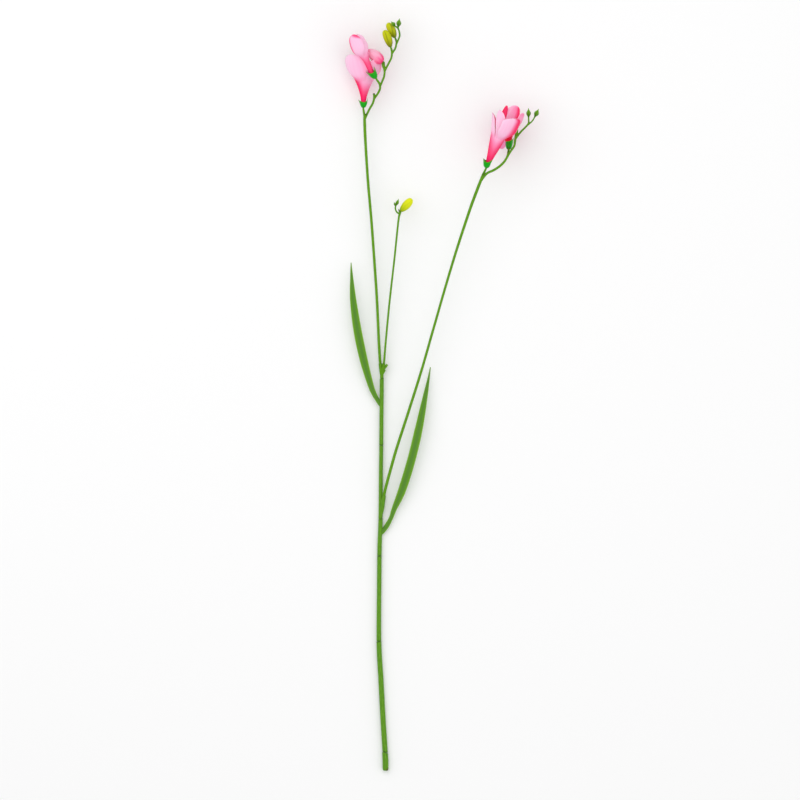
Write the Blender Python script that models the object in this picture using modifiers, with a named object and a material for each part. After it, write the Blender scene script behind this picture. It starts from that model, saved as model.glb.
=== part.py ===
"""A freesia stem, lying on a surface and seen from above.

The trunk runs along +Y from its cut end to the flower heads, +X is to its right and +Z is up. The
trunk is a row of moulded lengths that plug into each other, and the branches plug into their arms.
The stem rests on the flat under its end sleeve and on the lowest petals of two flowers, all at z = 0.
The frame's origin is on that surface, under the middle of the whole stem's outline.

Places are (x, y, z) in millimetres, measured from the middle of the cut end at the surface. A
route's fourth number is the radius there.
"""

import math

import bmesh
import bpy
import numpy as np
from mathutils import Vector

for old in list(bpy.data.objects):
    bpy.data.objects.remove(old)

# Driving dimensions, in millimetres
MM = 0.001
SLEEVE_RADIUS = 2.2
TRUNK_Z = SLEEVE_RADIUS * math.cos(math.pi / 10)     # so that one of the sleeve's ten sides is at z = 0
ORIGIN_X = 43.2              # the frame's origin, from the cut end
ORIGIN_Y = 282.1
SEAM = 0.3                   # gap between two pieces that touch
PLUG_LENGTH = 5.0
TRUNK_PLUG_RADIUS = 0.75
BRANCH_PLUG_RADIUS = 0.7
FORK_PLUG_RADIUS = 0.6
TWIG_PLUG_RADIUS = 0.45
PETAL_THICKNESS = 0.65
CUP_WALL = 0.6
CUP_RECESS_DEPTH = 1.2       # the hollow under a cup that takes its stalk
STALK_RADIUS = 0.75
LEAF_EDGE = 0.6
FACET = 0.05                 # length of the step from a plug to the body that it carries
WELD = 0.005                 # points closer than this are one

# The trunk's middle line: y, x, z
TRUNK_LINE = [
    (0.0, 0.0, TRUNK_Z), (13.8, -0.4, TRUNK_Z), (38.0, -1.9, TRUNK_Z), (68.0, -3.5, TRUNK_Z),
    (97.0, -5.0, TRUNK_Z), (143.0, -4.8, TRUNK_Z), (169.0, -4.5, TRUNK_Z), (188.8, -3.8, TRUNK_Z),
    (218.0, -3.6, 2.3), (244.0, -3.3, 2.7), (278.0, -3.0, 3.5), (294.5, -2.9, 4.0), (304.0, -2.8, 4.3),
]
# The seams between the trunk's lengths, measured from the cut end
SLEEVE_TOP = 13.8
LOWER_TOP = 97.0
MIDDLE_TOP = 161.0
LEAF_JOINT_TOP = 188.8
BRANCH_JOINT_TOP = 244.0
UPPER_TOP = 294.5


def place(x, y, z):
    """A point of the frame, in metres, from millimetres measured from the cut end."""
    return Vector((x - ORIGIN_X, y - ORIGIN_Y, z)) * MM


def heading(turn, rise):
    """The direction of a flower that leans turn degrees to the right and rises by rise degrees."""
    turn, rise = math.radians(turn), math.radians(rise)
    flat = math.cos(rise)
    return Vector((math.sin(turn) * flat, math.cos(turn) * flat, math.sin(rise)))


def smoothstep(value):
    value = min(max(value, 0.0), 1.0)
    return value * value * (3.0 - 2.0 * value)


def smooth_route(route, spacing):
    """Points about spacing apart on a smooth curve through the route's own points."""
    knots = [np.array(knot, float) for knot in route]
    knots = [2 * knots[0] - knots[1]] + knots + [2 * knots[-1] - knots[-2]]
    points = []
    for before, start, end, after in zip(knots, knots[1:], knots[2:], knots[3:]):
        steps = max(1, round(np.linalg.norm((end - start)[:3]) / spacing))
        for step in range(steps):
            t = step / steps
            points.append(0.5 * (2 * start + (end - before) * t
                                 + (2 * before - 5 * start + 4 * end - after) * t ** 2
                                 + (3 * start - before - 3 * end + after) * t ** 3))
    points.append(knots[-2])
    return [tuple(float(number) for number in point) for point in points]


# Objects

def new_collection(name):
    collection = bpy.data.collections.new(name)
    bpy.context.scene.collection.children.link(collection)
    return collection


def material(name, colour, roughness):
    shade = bpy.data.materials.new(name)
    shade.use_nodes = True
    shader = shade.node_tree.nodes["Principled BSDF"]
    shader.inputs["Base Color"].default_value = (*colour, 1.0)
    shader.inputs["Roughness"].default_value = roughness
    shader.inputs["Metallic"].default_value = 0.0
    return shade


def mesh_object(name, grid):
    mesh = bpy.data.meshes.new(name)
    grid.to_mesh(mesh)
    grid.free()
    made = bpy.data.objects.new(name, mesh)
    parts.objects.link(made)
    return made


def tube(name, points, resolution=2):
    """A round stem along ready points (x, y, z, radius), as a closed mesh."""
    curve = bpy.data.curves.new("route", "CURVE")
    curve.dimensions = "3D"
    curve.bevel_depth = MM
    curve.bevel_resolution = resolution
    curve.use_fill_caps = True
    spline = curve.splines.new("POLY")
    spline.points.add(len(points) - 1)
    for knot, (x, y, z, radius) in zip(spline.points, points):
        knot.co = (*place(x, y, z), 1.0)
        knot.radius = radius
    drawn = bpy.data.objects.new("route", curve)
    parts.objects.link(drawn)
    evaluated = drawn.evaluated_get(bpy.context.evaluated_depsgraph_get())
    grid = bmesh.new()
    grid.from_mesh(bpy.data.meshes.new_from_object(evaluated))
    bmesh.ops.remove_doubles(grid, verts=grid.verts, dist=WELD * MM)
    made = mesh_object(name, grid)
    made.matrix_world = drawn.matrix_world
    bpy.data.objects.remove(drawn)
    return made


def loft(name, rings):
    """A closed solid through rings of points; a ring of one point closes an end to a tip."""
    grid = bmesh.new()
    corners = [[grid.verts.new(point) for point in ring] for ring in rings]
    for low, high in zip(corners, corners[1:]):
        count = max(len(low), len(high))
        for side in range(count):
            after = (side + 1) % count
            if len(low) == 1:
                grid.faces.new((low[0], high[after], high[side]))
            elif len(high) == 1:
                grid.faces.new((low[side], low[after], high[0]))
            else:
                grid.faces.new((low[side], low[after], high[after]))
                grid.faces.new((low[side], high[after], high[side]))
    for end in (corners[0], corners[-1]):
        if len(end) > 1:
            grid.faces.new(end)
    bmesh.ops.recalc_face_normals(grid, faces=grid.faces)
    return mesh_object(name, grid)


def apply_boolean(base, modifier):
    """Keeps the shape that a Boolean modifier gives, and drops the modifier."""
    evaluated = base.evaluated_get(bpy.context.evaluated_depsgraph_get())
    base.data = bpy.data.meshes.new_from_object(evaluated)
    base.modifiers.remove(modifier)


def fuse(name, pieces):
    """One node from pieces that grow out of each other."""
    base, repeats = pieces[0], pieces[1:]
    joined = new_collection(name + "_pieces")
    for piece in repeats:
        parts.objects.unlink(piece)
        joined.objects.link(piece)
    union = base.modifiers.new("union", "BOOLEAN")
    union.operation = "UNION"
    union.operand_type = "COLLECTION"
    union.collection = joined
    apply_boolean(base, union)
    for piece in repeats:
        bpy.data.objects.remove(piece)
    bpy.data.collections.remove(joined)
    base.name = name
    return base


def cut_socket(body, mouth, direction, plug_radius):
    """Cuts the hole that a plug sits in, from its mouth back into the body."""
    depth = PLUG_LENGTH + SEAM
    bpy.ops.mesh.primitive_cylinder_add(vertices=12, radius=(plug_radius + SEAM) * MM,
                                        depth=(depth + 1.0) * MM)
    cutter = bpy.context.object
    cutter.name = body.name + "_socket"
    cutter.rotation_euler = direction.to_track_quat("Z", "Y").to_euler()
    cutter.location = place(*mouth) - direction * (depth - 1.0) / 2 * MM
    cutter.hide_render = True
    cutter.display_type = "WIRE"
    for holder in list(cutter.users_collection):
        holder.objects.unlink(cutter)
    cutters.objects.link(cutter)
    cut = body.modifiers.new("socket", "BOOLEAN")
    cut.operation = "DIFFERENCE"
    cut.object = cutter


def finish(made, shade):
    made.data.materials.clear()
    made.data.materials.append(shade)
    made.data.shade_smooth()
    made.data.set_sharp_from_angle(angle=math.radians(50))
    return made


# Trunk

def trunk_at(y):
    """The trunk's middle line at y."""
    line = np.array(smooth_route(TRUNK_LINE, 4.0))
    return (float(np.interp(y, line[:, 0], line[:, 1])), y,
            float(np.interp(y, line[:, 0], line[:, 2])))


def trunk_heading(y):
    return (Vector(trunk_at(y + 1.0)) - Vector(trunk_at(y - 1.0))).normalized()


def trunk_points(start, end, radii, plugged):
    """Points of one length of trunk from seam to seam, and of the plug below it."""
    points = []
    if plugged:
        for y in (start - PLUG_LENGTH, start + SEAM / 2 - FACET):
            points.append((*trunk_at(y), TRUNK_PLUG_RADIUS))
        start += SEAM / 2
    end -= SEAM / 2
    steps = max(2, round((end - start) / 12.0))
    for step in range(steps + 1):
        share = step / steps
        radius = float(np.interp(share, np.linspace(0, 1, len(radii)), radii))
        points.append((*trunk_at(start + (end - start) * share), radius))
    return points


def stem_length(name, start, end, radii, plugged=True):
    return tube(name, trunk_points(start, end, radii, plugged), resolution=3)


def trunk_socket(body, seam):
    cut_socket(body, trunk_at(seam - SEAM / 2), trunk_heading(seam), TRUNK_PLUG_RADIUS)


def build_trunk():
    """The six lengths below the fork, each with a socket for the next one's plug."""
    rounded_end = [(*trunk_at(0.0), 1.75), (*trunk_at(0.5), 2.1)]
    body = [(*trunk_at(y), SLEEVE_RADIUS) for y in (1.4, 7.0, 12.4)]
    sleeve = tube("stem_end_sleeve", rounded_end + body + [(*trunk_at(SLEEVE_TOP - SEAM / 2), 2.1)],
                  resolution=3)
    trunk_socket(sleeve, SLEEVE_TOP)
    lower = stem_length("stem_lower", SLEEVE_TOP, LOWER_TOP, (1.95, 1.95, 1.85))
    trunk_socket(lower, LOWER_TOP)
    middle = stem_length("stem_middle", LOWER_TOP, MIDDLE_TOP, (1.75, 1.65, 1.65))
    trunk_socket(middle, MIDDLE_TOP)
    leaf_joint = stem_length("stem_leaf_joint", MIDDLE_TOP, LEAF_JOINT_TOP, (1.65, 1.6))
    trunk_socket(leaf_joint, LEAF_JOINT_TOP)
    upper = stem_length("stem_upper", BRANCH_JOINT_TOP, UPPER_TOP, (1.5, 1.55))
    trunk_socket(upper, UPPER_TOP)
    return [sleeve, lower, middle, leaf_joint, build_branch_joint(), upper]


# The arm that the right branch plugs into, beside and a little above the trunk
ARM = [(-3.8, 190.5, 2.3, 1.3), (-2.6, 196.0, 3.2, 1.45), (-1.9, 201.0, 4.2, 1.45),
       (-1.1, 206.5, 5.2, 1.4)]


def end_heading(route):
    return (Vector(route[-1][:3]) - Vector(route[-2][:3])).normalized()


def build_branch_joint():
    main = stem_length("stem_branch_joint", LEAF_JOINT_TOP, BRANCH_JOINT_TOP, (1.6, 1.5, 1.48))
    joint = fuse("stem_branch_joint", [main, tube("arm", smooth_route(ARM, 3.0))])
    trunk_socket(joint, BRANCH_JOINT_TOP)
    cut_socket(joint, ARM[-1][:3], end_heading(ARM), BRANCH_PLUG_RADIUS)
    return joint


# The fork's two arms, its cut stub and its bract
FORK_TOP_ARM = [(-3.1, 297.5, 4.1, 1.25), (-3.5, 301.0, 4.4, 1.4), (-4.0, 305.6, 4.8, 1.4)]
FORK_TWIG_ARM = [(-2.9, 296.5, 4.1, 1.1), (-2.1, 300.5, 5.2, 1.15), (-1.35, 305.4, 6.6, 1.1)]
FORK_STUB = [(-2.9, 298.0, 4.3, 1.0), (-1.2, 301.2, 4.6, 1.0), (0.8, 304.2, 5.0, 0.9)]
FORK_BRACT = [(-2.2, 298.6, 4.8, 0.7), (-0.9, 300.4, 5.8, 0.6), (0.2, 302.0, 6.6, 0.12)]


def build_fork():
    foot = tube("fork_foot", trunk_points(UPPER_TOP, UPPER_TOP + 4.5, (1.3, 1.3), True), 3)
    arms = [tube("fork_arm", smooth_route(route, 2.0))
            for route in (FORK_TOP_ARM, FORK_TWIG_ARM, FORK_STUB, FORK_BRACT)]
    fork = fuse("stem_fork", [foot] + arms)
    cut_socket(fork, FORK_TOP_ARM[-1][:3], end_heading(FORK_TOP_ARM), FORK_PLUG_RADIUS)
    cut_socket(fork, FORK_TWIG_ARM[-1][:3], end_heading(FORK_TWIG_ARM), TWIG_PLUG_RADIUS)
    return fork


# Branches: each is one body with its zigzag flower stalk, stubs and tiny buds

TOP_MAIN = [(-4.25, 308.0, 5.1, 1.1), (-5.1, 323.0, 5.8, 1.08), (-6.5, 353.0, 7.2, 1.05),
            (-8.5, 383.0, 8.5, 1.05), (-10.7, 413.0, 9.7, 1.05), (-13.3, 443.0, 10.9, 1.05),
            (-15.2, 473.0, 12.0, 1.1), (-15.7, 485.0, 12.3, 1.15), (-15.8, 491.0, 12.4, 1.0)]
TOP_STALKS = {
    "to_first_stub": [(-15.8, 488.5, 12.3, 0.9), (-12.5, 495.4, 13.2, 0.85),
                      (-9.6, 500.6, 15.2, 0.85), (-8.5, 505.1, 17.2, 0.85),
                      (-8.9, 507.9, 18.4, 0.75)],
    "to_closed_flower": [(-8.9, 503.6, 16.8, 0.8), (-5.6, 508.3, 19.2, 0.85),
                         (-4.1, 512.0, 21.0, 0.85), (-4.5, 515.3, 22.6, 0.8)],
    "to_pink_bud": [(-4.2, 513.2, 21.4, 0.75), (-1.5, 519.6, 22.2, 0.82),
                    (-0.7, 523.5, 21.6, 0.82), (-0.65, 526.4, 21.2, 0.8),
                    (-0.85, 528.6, 20.8, 0.72)],
    "to_lower_bud": [(-0.75, 524.8, 21.2, 0.75), (2.5, 530.9, 21.8, 0.8),
                     (4.4, 535.0, 22.3, 0.8), (4.7, 539.0, 22.8, 0.78),
                     (4.3, 541.3, 23.2, 0.7)],
    "to_upper_bud": [(4.6, 537.6, 22.6, 0.7), (7.3, 541.8, 21.8, 0.75), (8.2, 546.3, 21.0, 0.72),
                     (7.8, 548.0, 20.7, 0.68)],
    "to_tip": [(8.1, 545.0, 21.3, 0.65), (10.4, 550.6, 22.4, 0.72), (10.3, 553.9, 23.2, 0.7),
               (9.1, 557.0, 23.9, 0.62), (6.9, 558.4, 24.5, 0.55)],
    "to_last_bud": [(9.4, 556.2, 23.7, 0.55), (9.4, 558.3, 24.0, 0.5)],
}
TOP_TINY_BUDS = [((7.2, 558.2, 24.5), (4.1, 562.0, 25.2), 1.45),
                 ((9.35, 557.6, 24.0), (10.5, 564.3, 24.4), 1.75)]

TWIG_MAIN = [(-1.05, 307.7, 7.25, 0.82), (0.2, 323.0, 8.7, 0.8), (3.1, 353.0, 11.0, 0.78),
             (6.5, 383.0, 13.0, 0.76), (9.4, 411.0, 14.6, 0.76), (10.2, 416.6, 14.95, 0.8),
             (10.6, 418.5, 15.1, 0.72)]
TWIG_HOOK = [(9.8, 415.0, 14.8, 0.6), (8.6, 418.7, 15.2, 0.55), (7.4, 420.4, 15.5, 0.5),
             (7.3, 422.1, 15.8, 0.5), (7.6, 424.0, 16.1, 0.5)]
TWIG_BRACT = [(10.1, 416.2, 15.1, 0.55), (9.8, 418.4, 16.0, 0.4), (9.5, 420.4, 16.6, 0.12)]
TWIG_TINY_BUDS = [((7.5, 423.2, 15.9), (6.3, 426.6, 16.4), 0.85),
                  ((7.7, 423.6, 16.1), (9.9, 429.0, 16.8), 1.15)]

RIGHT_MAIN = [(-0.75, 208.9, 5.65, 1.16), (1.6, 218.0, 6.9, 1.16), (7.9, 240.5, 8.9, 1.12),
              (17.6, 270.5, 11.2, 1.08), (27.0, 300.5, 13.5, 1.02), (35.6, 330.5, 15.7, 0.98),
              (44.2, 360.5, 17.9, 0.98), (53.2, 390.5, 20.1, 1.02), (63.1, 420.5, 22.3, 1.12),
              (68.6, 435.5, 23.3, 1.18), (72.3, 445.0, 23.9, 1.1), (74.2, 449.4, 24.1, 0.85)]
RIGHT_STALKS = {
    "to_back_flower": [(71.3, 442.4, 23.7, 1.0), (75.9, 447.9, 24.3, 0.95),
                       (80.7, 450.2, 24.7, 0.95), (85.4, 453.2, 25.3, 0.95),
                       (89.2, 457.0, 26.0, 0.92), (91.5, 461.2, 26.1, 0.9),
                       (92.1, 464.2, 24.9, 0.85)],
    "to_stub": [(91.2, 460.4, 26.2, 0.8), (94.2, 465.2, 27.4, 0.85), (96.5, 468.6, 28.0, 0.85),
                (97.4, 471.9, 28.4, 0.9), (98.2, 475.9, 28.4, 0.95), (98.8, 478.2, 28.4, 0.8),
                (99.3, 481.2, 28.6, 0.12)],
    "to_tip": [(98.2, 475.0, 28.3, 0.8), (101.7, 479.4, 28.6, 0.75), (104.6, 482.3, 28.8, 0.72),
               (107.1, 485.2, 29.0, 0.75), (107.3, 487.4, 29.0, 0.6), (107.2, 490.6, 29.0, 0.5)],
    "to_last_bud": [(106.6, 484.3, 29.0, 0.6), (109.9, 487.1, 29.3, 0.58),
                    (112.0, 490.6, 29.6, 0.5)],
}
RIGHT_TINY_BUDS = [((107.2, 489.9, 29.0), (107.2, 497.0, 29.2), 1.65),
                   ((111.7, 490.2, 29.5), (114.9, 496.4, 30.0), 1.7)]


def plug(mouth, direction, radius, body_radius):
    """The end of a branch that sits in its socket, as the first points of its route."""
    mouth = Vector(mouth)
    points = [mouth - direction * PLUG_LENGTH, mouth + direction * (SEAM - FACET)]
    return [(*point, radius) for point in points] + [(*(mouth + direction * SEAM), body_radius)]


def cup_stalk_end(flower):
    """The last points of a stalk, straight into the hollow under a flower's cup."""
    base, forward = Vector(flower["base"]), heading(*flower["heading"])
    return [(*(base - forward * 0.8), STALK_RADIUS),
            (*(base + forward * (CUP_RECESS_DEPTH - SEAM)), STALK_RADIUS)]


def bud_stalk_end(name, radius=0.62):
    """The last points of a stalk, straight into the hollow under a bud."""
    base, tip = Vector(BUDS[name][0]), Vector(BUDS[name][1])
    along = (tip - base).normalized()
    return [(*(base - along * 0.5), radius), (*(base + along * (BUD_SOCKET_DEPTH - SEAM)), radius)]


def tiny_bud(base, tip, radius):
    """A closed lantern-shaped bud with a fine point."""
    base, tip = Vector(base), Vector(tip)
    shape = [(0.0, 0.3), (0.14, 0.55), (0.34, 0.95), (0.5, 1.0), (0.68, 0.72), (0.85, 0.28), (1.0, 0.1)]
    return tube("tiny_bud", [(*base.lerp(tip, share), radius * size) for share, size in shape])


def build_branch(name, main, stalks, tiny_buds):
    pieces = [tube(name + "_main", main)]
    pieces += [tube(name + "_stalk", stalk) for stalk in stalks]
    pieces += [tiny_bud(*bud) for bud in tiny_buds]
    return fuse(name, pieces)


def stalk(route, end=()):
    """Points of a bent stalk, and of its straight end in a cup or a bud."""
    return smooth_route(route, 2.4) + list(end)


def build_top_branch():
    main = plug(FORK_TOP_ARM[-1][:3], end_heading(FORK_TOP_ARM), FORK_PLUG_RADIUS, 1.1)
    main += smooth_route(TOP_MAIN, 14.0) + cup_stalk_end(FLOWERS["top_open"])
    stalks = [
        stalk(TOP_STALKS["to_first_stub"]),
        stalk(TOP_STALKS["to_closed_flower"], cup_stalk_end(FLOWERS["top_closed"])),
        stalk(TOP_STALKS["to_pink_bud"], bud_stalk_end("top_pink_bud")),
        stalk(TOP_STALKS["to_lower_bud"], bud_stalk_end("top_lower_bud")),
        stalk(TOP_STALKS["to_upper_bud"], bud_stalk_end("top_upper_bud")),
        stalk(TOP_STALKS["to_tip"]),
        stalk(TOP_STALKS["to_last_bud"]),
    ]
    return build_branch("top_branch", main, stalks, TOP_TINY_BUDS)


def build_middle_branch():
    main = plug(FORK_TWIG_ARM[-1][:3], end_heading(FORK_TWIG_ARM), TWIG_PLUG_RADIUS, 0.82)
    main += smooth_route(TWIG_MAIN, 14.0) + bud_stalk_end("middle_bud")
    return build_branch("middle_branch", main, [stalk(TWIG_HOOK), stalk(TWIG_BRACT)], TWIG_TINY_BUDS)


def build_right_branch():
    main = plug(ARM[-1][:3], end_heading(ARM), BRANCH_PLUG_RADIUS, 1.16)
    main += smooth_route(RIGHT_MAIN, 14.0) + cup_stalk_end(FLOWERS["right_front"])
    stalks = [
        stalk(RIGHT_STALKS["to_back_flower"], cup_stalk_end(FLOWERS["right_back"])),
        stalk(RIGHT_STALKS["to_stub"]),
        stalk(RIGHT_STALKS["to_tip"]),
        stalk(RIGHT_STALKS["to_last_bud"]),
    ]
    return build_branch("right_branch", main, stalks, RIGHT_TINY_BUDS)


# Leaves: the route is x, y, z, half the width, and the thickness at the middle

LEFT_LEAF = [(-5.68, 272.8, 3.4, 0.8, 1.6), (-6.15, 276.4, 3.7, 1.2, 1.4), (-8.0, 281.8, 4.4, 1.9, 1.1),
             (-11.2, 289.3, 5.6, 2.35, 0.95), (-16.4, 308.0, 8.0, 3.0, 0.9),
             (-21.1, 330.5, 9.4, 3.1, 0.9), (-24.3, 353.0, 9.2, 2.4, 0.85),
             (-25.5, 371.0, 8.0, 1.1, 0.75), (-25.9, 381.0, 7.0, 0.35, 0.65)]
RIGHT_LEAF = [(-1.25, 175.9, 2.4, 0.8, 1.6), (-0.2, 179.4, 2.6, 1.2, 1.4), (2.0, 184.8, 3.1, 1.7, 1.1),
              (6.1, 195.5, 4.4, 2.3, 0.95), (12.4, 210.5, 6.6, 3.0, 0.9),
              (19.3, 233.0, 8.8, 3.15, 0.9), (24.7, 255.5, 9.0, 3.0, 0.9),
              (29.2, 278.0, 7.4, 2.0, 0.85), (32.2, 294.0, 5.6, 0.9, 0.75),
              (33.6, 302.6, 4.6, 0.35, 0.65)]
LEAF_FOLD = 0.35             # how far the midrib lies below the edges, as a share of the half width
LEAF_ACROSS = (-1.0, -0.5, 0.0, 0.5, 1.0)


def leaf(name, route):
    """A sword-shaped blade, folded a little along its middle and thicker there."""
    points = smooth_route(route, 7.0)
    rings = []
    for index, (x, y, z, half_width, thickness) in enumerate(points):
        before, after = points[max(index - 1, 0)], points[min(index + 1, len(points) - 1)]
        along = (Vector(after[:3]) - Vector(before[:3])).normalized()
        across = along.cross(Vector((0, 0, 1))).normalized()
        normal = across.cross(along)
        fold = LEAF_FOLD * half_width * smoothstep((half_width - 1.2) / 1.2)

        def corner(share, side):
            depth = thickness + (LEAF_EDGE - thickness) * abs(share)
            lift = side * depth / 2 - fold * (1 - abs(share))
            point = Vector((x, y, z)) + across * share * half_width + normal * lift
            return place(*point)

        rings.append([corner(share, 1) for share in LEAF_ACROSS]
                     + [corner(share, -1) for share in reversed(LEAF_ACROSS)])
    return loft(name, rings)


# Flowers
#
# base is where the stalk meets the cup and heading is the way the flower points (degrees to the
# right of +Y, degrees up); bow is how far its middle line has bent to the right at 30 mm. bract_turn
# is where round the cup its two points stand. tube is the run of the petal tube: height over the
# base and radius. phase turns all six petals round. Each petal is: degrees round from the right
# towards the viewer, length, half width, its bend away from the flower's axis at its start, middle
# and tip, how far its tip leans to greater degrees, and its layer: 1 outside its neighbours, -1
# inside them.

FLOWERS = {
    "top_open": {
        "base": (-16.7, 497.3, 13.1), "heading": (4.0, 0.0), "bow": 0.5, "phase": 0.0,
        "cup_height": 4.6, "cup_radius": 3.1, "bract_turn": 8.0,
        "tube": [(2.2, 1.3), (5.0, 1.7), (9.0, 2.3), (13.0, 3.5), (16.5, 5.0), (19.0, 6.2)],
        "petals": [(128, 22.0, 9.6, 34, 16, 4, 3.6, 1), (66, 16.5, 6.4, 20, 2, -12, 1.5, -1),
                   (348, 18.5, 6.0, 25, 19, 3, 0.0, 0), (296, 18.0, 6.4, 27, 20, 8, 0.0, 1),
                   (240, 18.0, 6.6, 24, 14, 6, 0.0, -1), (182, 18.0, 6.6, 26, 18, 10, 0.0, 0)],
    },
    "top_closed": {
        "base": (-6.9, 518.9, 24.0), "heading": (-22.0, 10.0), "bow": -2.0, "phase": 0.0,
        "cup_height": 4.4, "cup_radius": 2.9, "bract_turn": 15.0,
        "tube": [(2.2, 1.25), (4.8, 1.6), (9.0, 1.8), (14.0, 2.0), (17.0, 2.5), (19.5, 3.5)],
        "petals": [(110, 17.5, 5.6, 28, -4, -16, 0.5, 1), (50, 17.0, 4.8, 26, -4, -18, 0.0, 0),
                   (350, 17.0, 4.4, 26, -4, -20, 0.0, -1), (290, 17.0, 5.2, 28, -4, -16, 0.0, 1),
                   (230, 17.0, 4.8, 26, -4, -18, 0.0, 0), (170, 16.5, 4.4, 26, -4, -20, 0.0, -1)],
    },
    "right_front": {
        "base": (75.5, 452.2, 25.3), "heading": (20.7, 13.0), "bow": 0.0, "phase": 0.0,
        "cup_height": 5.0, "cup_radius": 2.9, "bract_turn": 0.0,
        "tube": [(2.2, 1.3), (6.0, 2.0), (11.0, 2.9), (16.0, 3.9), (21.0, 4.8), (25.0, 5.5)],
        "petals": [(60, 22.0, 7.4, 12, 14, 4, -1.5, 1), (0, 23.5, 5.6, 12, 15, 6, 0.0, 0),
                   (303, 25.0, 6.6, 8, 8, 4, 0.0, -1), (240, 22.5, 4.8, 12, 12, 6, 0.0, 1),
                   (180, 20.5, 5.0, 12, 13, 10, 0.0, 0), (120, 22.5, 5.4, 10, 10, 6, 0.5, -1)],
    },
    "right_back": {
        "base": (92.3, 466.3, 22.95), "heading": (4.0, -37.0), "bow": -10.0, "phase": 30.0,
        "cup_height": 4.8, "cup_radius": 2.8, "bract_turn": 0.0,
        "tube": [(2.2, 1.3), (5.5, 1.8), (8.5, 2.5), (11.5, 3.5), (13.5, 4.6)],
        "petals": [(60, 12.0, 5.0, 30, 24, 14, 0.0, 1), (0, 12.0, 4.6, 22, 4, -6, 0.0, -1),
                   (300, 11.5, 4.6, 24, 8, 0, 0.0, 0), (236, 14.0, 6.0, 60, 88, 100, 0.0, 1),
                   (180, 10.5, 4.6, 24, 14, 8, 0.0, -1), (120, 11.0, 4.6, 28, 22, 16, 0.0, 0)],
    },
}
PETAL_COLUMNS = 4            # of each petal, so 24 round the tube
PETAL_ROWS = (0.07, 0.16, 0.28, 0.42, 0.58, 0.73, 0.86, 0.95, 1.0)
LAYER_DEPTH = 1.25           # how far a petal lies outside or inside its neighbours
NOTCH = 0.905                # share of its sixth of the ring that a petal fills where it starts


def flower_axes(flower):
    """The flower's right, its side towards the viewer, and the way it points."""
    forward = heading(*flower["heading"])
    right = forward.cross(Vector((0, 0, 1))).normalized()
    return right, right.cross(forward), forward


def axis_point(flower, height):
    """A point of the flower's middle line, which bows to one side along the tube."""
    right, front, forward = flower_axes(flower)
    return Vector(flower["base"]) + forward * height + right * flower["bow"] * (height / 30.0) ** 2


def round_axis(flower, turn, radius, height):
    """A point at a turn, radius and height about the flower's middle line."""
    right, front, forward = flower_axes(flower)
    turn = math.radians(turn + flower["phase"])
    return axis_point(flower, height) + (right * math.cos(turn) + front * math.sin(turn)) * radius


def petal_half_width(share, sector, widest):
    """Half the width at a share of the length: edge to edge at the tube, then wide, then round."""
    outline = widest * (0.72 + 0.28 * smoothstep(share / 0.5))
    width = sector + (outline - sector) * smoothstep((share - 0.12) / 0.3)
    if share < 0.5:
        return width
    return max(0.16 * widest, width * (1 - ((share - 0.5) / 0.5) ** 2.4) ** 0.5)


def petal_row(flower, petal, share):
    """The middle point, sideways and face directions, half width and curl radius of a row."""
    turn, length, widest, bend_start, bend_middle, bend_tip, lean, layer = petal
    height, radius = flower["tube"][-1]
    right, front, forward = flower_axes(flower)
    steps = 24
    for step in range(steps):
        way = (step + 0.5) / steps * share
        bend = math.radians(np.interp(way, (0, 0.5, 1), (bend_start, bend_middle, bend_tip)))
        radius += math.sin(bend) * length * share / steps
        height += math.cos(bend) * length * share / steps
    bend = math.radians(np.interp(share, (0, 0.5, 1), (bend_start, bend_middle, bend_tip)))
    slot = 60.0 * round(turn / 60.0)
    turn = math.radians(flower["phase"] + slot + (turn - slot) * smoothstep(share / 0.5))
    outward = right * math.cos(turn) + front * math.sin(turn)
    sideways = front * math.cos(turn) - right * math.sin(turn)
    facing = outward * math.cos(bend) - forward * math.sin(bend)
    offset = layer * LAYER_DEPTH * smoothstep(share / 0.18)
    middle = axis_point(flower, height) + outward * radius + facing * offset
    middle += sideways * lean * share ** 1.5
    half_width = petal_half_width(share, radius * math.pi / 6 * NOTCH, widest)
    return middle, sideways, facing, half_width, radius + offset


def petals(name, flower):
    """The tube and its six petals as one open sheet, which then gets its thickness."""
    grid = bmesh.new()
    columns = 6 * PETAL_COLUMNS
    rings = [[grid.verts.new(place(*round_axis(flower, column * 360 / columns, radius, height)))
              for column in range(columns)] for height, radius in flower["tube"]]
    for low, high in zip(rings, rings[1:]):
        for column in range(columns):
            after = (column + 1) % columns
            grid.faces.new((low[column], low[after], high[after]))
            grid.faces.new((low[column], high[after], high[column]))
    for petal in flower["petals"]:
        first = round(petal[0] / 60.0) * PETAL_COLUMNS - PETAL_COLUMNS // 2
        low = [rings[-1][(first + column) % columns] for column in range(PETAL_COLUMNS + 1)]
        for share in PETAL_ROWS:
            middle, sideways, facing, half_width, curl = petal_row(flower, petal, share)
            high = []
            for column in range(PETAL_COLUMNS + 1):
                angle = (2 * column / PETAL_COLUMNS - 1) * half_width / curl
                point = middle + sideways * curl * math.sin(angle)
                high.append(grid.verts.new(place(*(point - facing * curl * (1 - math.cos(angle))))))
            for column in range(PETAL_COLUMNS):
                grid.faces.new((low[column], low[column + 1], high[column + 1]))
                grid.faces.new((low[column], high[column + 1], high[column]))
            low = high
    made = mesh_object(name, grid)
    wall = made.modifiers.new("thickness", "SOLIDIFY")
    wall.thickness = PETAL_THICKNESS * MM
    wall.offset = 0.0
    return made


CUP_SIDES = 20
CUP_PROFILE = [(0.0, 0.48), (0.1, 0.67), (0.35, 0.9), (0.7, 1.0)]   # shares of height and of radius
CUP_POINT_RISE = 0.42        # how far its two points stand over the rim, as a share of the height
CUP_RIM_DIP = 0.12           # how far the rim dips between them
CUP_POINT_FLARE = 0.14       # how far they lean out, as a share of the radius


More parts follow.
